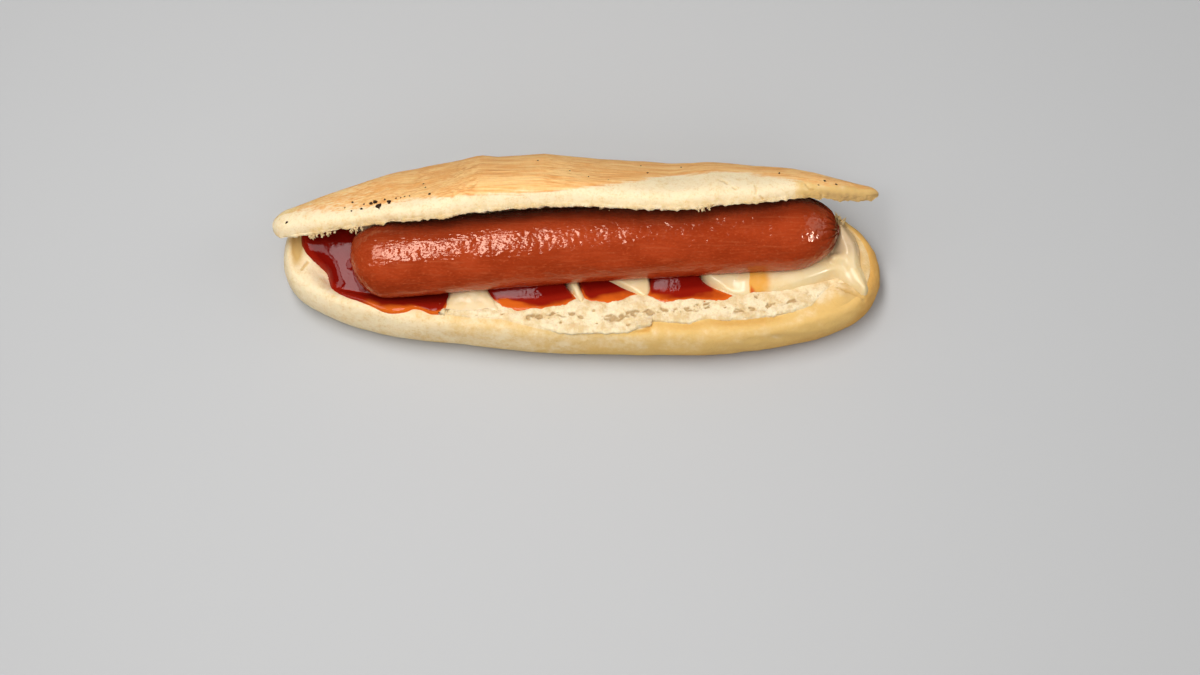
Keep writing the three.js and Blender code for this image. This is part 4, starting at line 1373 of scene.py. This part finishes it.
class HOTDOG_OT_crumb_shreds(bpy.types.Operator):
    """Hang shreds of crumb from the torn edges and drop a few on the sausage"""

    bl_idname = "hotdog.crumb_shreds"
    bl_label = "Crumb Shreds"

    def execute(self, context):
        lid = bpy.data.objects["roll_upper"]
        tree = BVHTree.FromObject(lid, context.evaluated_depsgraph_get())
        bits = []
        for number, (x, height, length, width) in enumerate(LID_SHREDS):
            edge_y, edge_z, *_ = lid_station(x)
            edge_y += (height - (TILT_Y * edge_y + TILT_Z * edge_z)) / TILT_Y
            wanted = in_frame((x, edge_y, edge_z))
            place, normal, _, _ = tree.find_nearest(wanted)
            facing = (normal + Vector((0, -0.4, -0.5))).normalized()
            sizes = (length * 0.7, width * 0.6, width)
            bits.append(lump_piece(place.lerp(wanted, 0.3), facing, sizes, 2.4, number + 40, 3))
        for number, (x, y, z, length, width) in enumerate(UPRIGHT_SHREDS):
            lean = Vector((math.sin(number * 2.1) * 0.5, 0.35, 1.0)).normalized()
            sizes = (width * 0.7, width * 0.5, length)
            bits.append(lump_piece(in_frame((x, y, z)), lean, sizes, 2.2, number + 70, 3))
        for number, (x, y, size) in enumerate(SAUSAGE_CRUMBS):
            beside = y - sausage_y(x)
            rise = math.sqrt(sausage_radius(x) ** 2 - beside**2)
            sizes = (size * 1.4, size, size * 0.6)
            bits.append(lump_piece(in_frame((x, y, SAUSAGE_HEIGHT + rise)),
                                   Vector((0, beside, rise)).normalized(), sizes, 1.4, number + 90))
        piece = join("crumb_shreds", bits)
        # The shreds are painted tan all over as shade, through the pit and shade layers.
        write_layers(piece, crumb=1, pit=0.4, gold=0, toast=0, shade=0.4)
        finish_piece(piece, bread_material(context), "crust")
        return {"FINISHED"}


# ---------------------------------------------------------------- the sausage


class HOTDOG_OT_sausage(bpy.types.Operator):
    """Make the sausage with its taut skin and puckered tied end"""

    bl_idname = "hotdog.sausage"
    bl_label = "Sausage"

    def execute(self, context):
        settings = context.scene.hotdog_sausage
        piece = wrapped_grid("sausage_link", SAUSAGE_GRID, sausage_points)
        points, normals, v = corners_of(piece), normals_of(piece), read_layer(piece, "v")
        x = points[:, 0]
        angle = v * 2 * math.pi
        turn = np.stack((np.cos(angle) * 2.2, np.sin(angle) * 2.2, x / 22), 1)
        near_tie = smooth(88, 101, x) ** 1.5
        near_left = smooth(-78, -86, x)
        folds = np.abs(lumps(turn * np.array((1.5, 1.5, 1)), 1.0, seed=51))
        ring = lumps(points, 5.0, (0.6, 2.2, 2.2), seed=52) * near_tie
        pebbling = settings.pebbling / MM
        skin = (settings.undulation / MM) * lumps(points, 7, (2.2, 1, 1), seed=53)
        skin += 0.13 * lumps(points, 4.6, seed=54) + pebbling * lumps(points, 1.7, seed=55)
        skin += 0.5 * pebbling * lumps(points, 1.0, seed=57)
        skin += 0.08 * lumps(points, 3.0, (6, 1, 1), seed=56)
        skin -= (settings.wrinkle / MM) * (near_tie * smooth(0.28, 0.0, folds) + 0.5 * ring * near_tie)
        skin -= 0.15 * near_left * smooth(0.2, 0.0, folds)
        skin *= 1 - 0.6 * (x > SAUSAGE_RIGHT_X - 0.3)
        lay(piece, points + normals * skin[:, None])
        # The darkening layer: the tied end's own darker skin, painted crease shade in the tie's folds, and a
        # painted shadow on the skin under the lid's front edge.
        edge_y, edge_z, *_ = lid_station(x)
        below_lid = TILT_Y * edge_y + TILT_Z * edge_z - height_across(points)
        lid_shadow = 0.95 * smooth(11.0, -0.5, below_lid) * smooth(-96, -62, x)
        dark = 0.6 * smooth(95, 102, x) + 0.4 * near_tie * smooth(0.2, 0.0, folds) + 0.2 * smooth(80, 98, x)
        write_layers(piece, dark=np.clip(np.maximum(dark, lid_shadow), 0, 1))
        drop_layers(piece, "u", "v")
        finish_piece(piece, sausage_finish(plain(settings)), "sausage_skin", "sausage")
        return {"FINISHED"}


# ---------------------------------------------------------------- the sauces


def soft_max(a, b, blend):
    """The larger of two heights, rounded where they cross."""
    share = np.clip(0.5 + 0.5 * (a - b) / blend, 0, 1)
    return mix(b, a, share) + blend * share * (1 - share)


def sauce_piece(name, outline, top, spacing):
    """A spread of sauce inside an outline: top(x, y, depth, ground) gives its upper face."""
    curve = closed_curve(outline)
    low, high = curve.min(0) - SAUCE_MARGIN, curve.max(0) + SAUCE_MARGIN
    columns, rows = (np.ceil((high - low) / spacing)).astype(int).tolist()
    piece, shares = flat_grid(name, columns, rows)
    plan = mix(low, high, shares)
    depth = depth_inside(plan, curve)
    ground = ground_under(plan)
    upper = top(plan[:, 0], plan[:, 1], depth, ground)
    lay(piece, np.column_stack((plan, upper)))
    write_layers(piece, depth=np.clip(upper - ground, 0, 20), edge=depth)
    delete_corners(piece, depth < -SAUCE_SKIRT)
    edit(piece, drop_wall)
    return piece


def drop_wall():
    """Extrudes the faces in edit mode down into a closed slab that faces outward."""
    bpy.ops.mesh.extrude_region_move(TRANSFORM_OT_translate={"value": (0, 0, -SAUCE_WALL * MM)})
    bpy.ops.mesh.select_all(action="SELECT")
    bpy.ops.mesh.normals_make_consistent(inside=False)


def sausage_outline(height):
    """Plan outline of the sausage where it passes through a height."""
    x = mix(SAUSAGE_LEFT_X, SAUSAGE_RIGHT_X, (1 - np.cos(np.linspace(0, math.pi, 48))) / 2)
    half = np.sqrt(np.clip(sausage_radius(x) ** 2 - (SAUSAGE_HEIGHT - height) ** 2, 0.01, None))
    front, back = (np.stack((x, sausage_y(x) + side * half), 1) for side in (-1, 1))
    return np.concatenate((front, back[::-1]))


def spread(x, y, depth, ground, film, level, round_edge, climb=1.4, climb_width=6.5, wavy=1.0):
    """Upper face of a sauce: a rounded edge, a film on high ground and a level pool on low ground."""
    plan = np.stack((x, y, np.zeros(len(x))), 1)
    wave = wavy * (0.5 * lumps(plan, 9, seed=61) + 0.2 * lumps(plan, 3.5, seed=62))
    full = soft_max(ground + film, level + 0.6 * wave, 0.8) - ground + 0.25 * wave
    reach = round_edge * (1 + 0.25 * np.clip(full - film, 0, 4))
    share = np.clip(depth / reach, 0, 1)
    rise = np.where(depth > 0, full * np.sqrt(np.clip(1 - (1 - share) ** 2, 0, 1)), depth * 1.2)
    upper = ground + rise
    gap = -depth_inside(np.stack((x, y), 1), sausage_outline(np.mean(level) + climb))
    near = np.clip(1 - gap / climb_width, 0, 1)
    upper += climb * 1.15 * near**2 / (near + 0.15) * smooth(0.0, 1.5, depth)
    beside = sausage_y(x) - y
    radius = sausage_radius(x) - 0.15
    under = SAUSAGE_HEIGHT - np.sqrt(np.clip(radius**2 - beside**2, 0, None))
    shelter = (np.abs(beside) < radius) & (under < upper)
    return np.where(shelter, np.maximum(under + 0.1, ground), upper)


class HOTDOG_OT_ketchup(bpy.types.Operator):
    """Pour the ketchup: a pool round the sausage's left end and three patches along its front"""

    bl_idname = "hotdog.ketchup"
    bl_label = "Ketchup"

    def execute(self, context):
        settings = context.scene.hotdog_sauces
        film = settings.film / MM
        material = ketchup_finish(plain(settings))

        def pool(x, y, depth, ground):
            """A pool that is highest at the back and falls away at its left end."""
            level = SAUCE_LEVEL - 0.4 + 0.24 * np.clip(y + 4, -14, 10) - 0.05 * np.clip(x + 92, -14, 14)
            level -= 1.6 * smooth(-95, -105, x)
            return spread(x, y, depth, ground, film * 1.3, level,
                          round_edge=2.6, climb=0.7, climb_width=3.0, wavy=0.25)

        def patch(crown_x, rise, fall, height, climb):
            """A spread that rises along X up to crown_x and falls beyond it, and climbs the sausage."""
            def top(x, y, depth, ground):
                beyond = np.clip(x - crown_x, -26, 26)
                lean = (rise - fall) / 2 * beyond - (rise + fall) / 2 * (np.sqrt(beyond**2 + 1) - 1)
                level = SAUCE_LEVEL + height + lean
                return spread(x, y, depth, ground, film + 0.5 * np.clip(lean, -0.8, 0.8), level,
                              round_edge=1.6, climb=climb, climb_width=7.0, wavy=0.3)
            return top

        left_patch = patch(crown_x=-12.0, rise=0.05, fall=0.10, height=0.5, climb=1.6)
        middle_patch = patch(crown_x=2.0, rise=0.02, fall=0.07, height=0.2, climb=0.4)
        right_patch = patch(crown_x=41.0, rise=0.12, fall=0.07, height=0.9, climb=1.6)
        for name, outline, top in (
            ("ketchup_pool", POOL_OUTLINE, pool),
            ("ketchup_patch_left", KETCHUP_LEFT_OUTLINE, left_patch),
            ("ketchup_patch_middle", KETCHUP_MIDDLE_OUTLINE, middle_patch),
            ("ketchup_patch_right", KETCHUP_RIGHT_OUTLINE, right_patch),
        ):
            piece = sauce_piece(name + "_sauce", outline, top, KETCHUP_MESH)
            points = corners_of(piece)
            x, y, _ = points.T
            rim = mix(6.0, 1.6, smooth(-68, -58, x)) if name == "ketchup_pool" else 2.4
            # Towards the left end the ketchup is painted deeper red and keeps less of its orange rim:
            # painted shade round the sausage's left end.
            left = smooth(-70, -86, x)
            covered = mix(0.4 * left, 1, smooth(0, 1, (read_layer(piece, "edge") + 1) / (rim + 1)))
            depth = np.maximum(read_layer(piece, "depth"), 1.6 * left) * covered
            uneven = lumps(points, 4, seed=63)
            for thin_x, thin_y, reach, share in THIN_KETCHUP:
                away = np.hypot(x - thin_x, (y - thin_y) * 1.5)
                depth *= 1 - share * smooth(reach, reach * 0.2, away + uneven)
            write_layers(piece, depth=depth)
            drop_layers(piece, "edge")
            finish_piece(piece, material, "ketchup", name)
        return {"FINISHED"}


class HOTDOG_OT_mayonnaise(bpy.types.Operator):
    """Squeeze the mayonnaise: small patches along the front and a ribbon at the right end"""

    bl_idname = "hotdog.mayonnaise"
    bl_label = "Mayonnaise"

    def execute(self, context):
        settings = context.scene.hotdog_sauces
        bead = settings.bead / MM
        material = mayonnaise_finish(plain(settings))

        def patch(x, y, depth, ground):
            return spread(x, y, depth, ground, bead * 0.3, SAUCE_LEVEL + 0.3, round_edge=4.0)

        def thin(x, y, depth, ground):
            return spread(x, y, depth, ground, bead, SAUCE_LEVEL + 0.35, round_edge=1.0)

        for name, outline, top, nodes in (
            ("mayonnaise_patch", MAYO_LEFT_OUTLINE, patch, ("mayonnaise_patch_left",)),
            ("mayonnaise_drip", MAYO_WEDGE_OUTLINE, thin, ("mayonnaise_wedge",)),
            ("mayonnaise_triangle", MAYO_TRIANGLE_OUTLINE, thin, ()),
            ("mayonnaise_band", RIBBON_OUTLINE, ribbon_top(bead), ("mayonnaise_ribbon",)),
        ):
            piece = sauce_piece(name, outline, top, MAYONNAISE_MESH)
            points = corners_of(piece)
            # Painted shade: the band's back part, behind the sausage's right end, is turned grey.
            at_back = smooth(-4, 3, points[:, 1]) * (name == "mayonnaise_band")
            write_layers(piece, stain=stain_on(name, points), deep=0.9 * at_back)
            drop_layers(piece, "edge", "depth")
            finish_piece(piece, material, "mayonnaise", *nodes)
        return {"FINISHED"}


def stain_on(name, points):
    """How much ketchup ran into a spread of mayonnaise: 1 is orange, 2 is deep orange."""
    x, y, _ = points.T
    uneven = lumps(points, 4.5, seed=64) + 0.5 * lumps(points, 1.8, seed=65)
    if name == "mayonnaise_band":
        start = 67.2 + 0.25 * uneven
        blot = smooth(start - 0.3, start + 0.3, x) * smooth(79.5, 72.0, x + 1.6 * uneven)
        corner = smooth(5.6, 0.0, (x - start) + 0.9 * np.clip(y + 16.0, 0, 9) + 0.8 * uneven)
        corner *= smooth(start - 0.3, start + 0.3, x)
        return 0.85 * blot + 1.1 * corner + 0.45 * smooth(51.6, 49.6, x + 0.5 * uneven)
    if name == "mayonnaise_drip":
        return 0.5 * hill(np.hypot(x + 0.6, (y + 15.6) * 0.8), 0, 1.1)
    return np.zeros(len(x))


def ribbon_top(bead):
    """Upper face of the ribbon: a spread with beads along it and a slab at its end."""
    pad = closed_curve(PAD_OUTLINE)

    def top(x, y, depth, ground):
        upper = spread(x, y, depth, ground, bead, SAUCE_LEVEL + 1.0, round_edge=1.6)
        plan = np.stack((x, y), 1)
        for line, half, height in RIBBON_BEADS:
            share = np.clip(1 - (distance_to_line(plan, line) / half) ** 2, 0, 1)
            upper += height * share**1.5 * smooth(0.0, 2.0, depth)
        slab = smooth(-2.2, 2.4, depth_inside(plan, pad))
        raised = PAD_HEIGHT + 0.12 * (y + 2) - 0.25 * (x - 105)
        return mix(upper, np.maximum(upper, raised), slab)

    return top


# ---------------------------------------------------------------- the stage


class HOTDOG_OT_stage(bpy.types.Operator):
    """Set the floor, the soft light and the camera"""

    bl_idname = "hotdog.stage"
    bl_label = "Stage"

    def execute(self, context):
        settings = context.scene.hotdog_stage
        bpy.ops.object.select_all(action="DESELECT")
        bpy.ops.mesh.primitive_plane_add(size=FLOOR_SIZE)
        floor = context.object
        floor.name = "floor"
        floor.data.materials.append(floor_finish(plain(settings)))
        floor.visible_glossy = False
        for name, place, size, power, share, mirrored, lit in SOFT_LIGHTS:
            soft_light(name, place, size, share * getattr(settings, power), mirrored, lit)
        world = bpy.data.worlds.new("even_light")
        world.use_nodes = True
        context.scene.world = world
        sky = world.node_tree.nodes["Background"]
        sky.inputs["Color"].default_value = (1.0, 1.0, 1.0, 1.0)
        sky.inputs["Strength"].default_value = settings.sky
        world.cycles_visibility.glossy = False
        bpy.ops.object.camera_add(location=CAMERA_PLACE, rotation=(CAMERA_LEAN, 0, 0))
        camera = context.object
        camera.name = "camera"
        camera.data.sensor_width = CAMERA_SENSOR
        camera.data.lens = CAMERA_LENS
        camera.data.clip_start = 0.01
        context.scene.camera = camera
        context.scene.view_settings.view_transform = "Standard"
        return {"FINISHED"}


def soft_light(name, place, size, power, mirrored, lit):
    """A rectangular light, X by Y, that faces the roll and shows in its gloss, on its colours or both."""
    bpy.ops.object.light_add(type="AREA", location=place)
    light = bpy.context.object
    light.name = name
    light.data.shape = "RECTANGLE"
    light.data.size, light.data.size_y = size
    light.data.energy = power
    light.visible_glossy = mirrored
    light.visible_diffuse = lit
    back = (Vector(place) - Vector(LIGHTS_AIM)).normalized()
    side = Vector((0, 1, 0)).cross(back).normalized()
    light.rotation_euler = Matrix((side, back.cross(side), back)).transposed().to_euler()


# ---------------------------------------------------------------- the add-on


OPERATORS = (
    HOTDOG_OT_lower_half, HOTDOG_OT_torn_crumb, HOTDOG_OT_upper_half, HOTDOG_OT_char_specks,
    HOTDOG_OT_sausage, HOTDOG_OT_ketchup, HOTDOG_OT_mayonnaise, HOTDOG_OT_crumb_shreds, HOTDOG_OT_stage,
)
SETTINGS = {
    "hotdog_roll": HotDogRoll, "hotdog_sausage": HotDogSausage,
    "hotdog_sauces": HotDogSauces, "hotdog_stage": HotDogStage,
}


class HOTDOG_PT_maker(bpy.types.Panel):
    """Buttons for the pieces, and their settings"""

    bl_idname = "HOTDOG_PT_maker"
    bl_label = "Hot Dog"
    bl_space_type = "VIEW_3D"
    bl_region_type = "UI"
    bl_category = "Hot Dog"

    def draw(self, context):
        for operator in OPERATORS:
            self.layout.operator(operator.bl_idname)
        for name, group in SETTINGS.items():
            box = self.layout.box()
            box.label(text=group.__name__)
            for setting in group.__annotations__:
                box.prop(getattr(context.scene, name), setting)


def register():
    for group in SETTINGS.values():
        bpy.utils.register_class(group)
    for name, group in SETTINGS.items():
        setattr(bpy.types.Scene, name, PointerProperty(type=group))
    for operator in OPERATORS:
        bpy.utils.register_class(operator)
    bpy.utils.register_class(HOTDOG_PT_maker)


def unregister():
    bpy.utils.unregister_class(HOTDOG_PT_maker)
    for operator in reversed(OPERATORS):
        bpy.utils.unregister_class(operator)
    for name, group in SETTINGS.items():
        delattr(bpy.types.Scene, name)
        bpy.utils.unregister_class(group)


def main():
    register()
    bpy.ops.hotdog.lower_half()
    bpy.ops.hotdog.torn_crumb()
    bpy.ops.hotdog.upper_half()
    bpy.ops.hotdog.char_specks()
    bpy.ops.hotdog.sausage()
    bpy.ops.hotdog.ketchup()
    bpy.ops.hotdog.mayonnaise()
    bpy.ops.hotdog.crumb_shreds()
    bpy.ops.hotdog.stage()


if __name__ == "__main__":
    main()
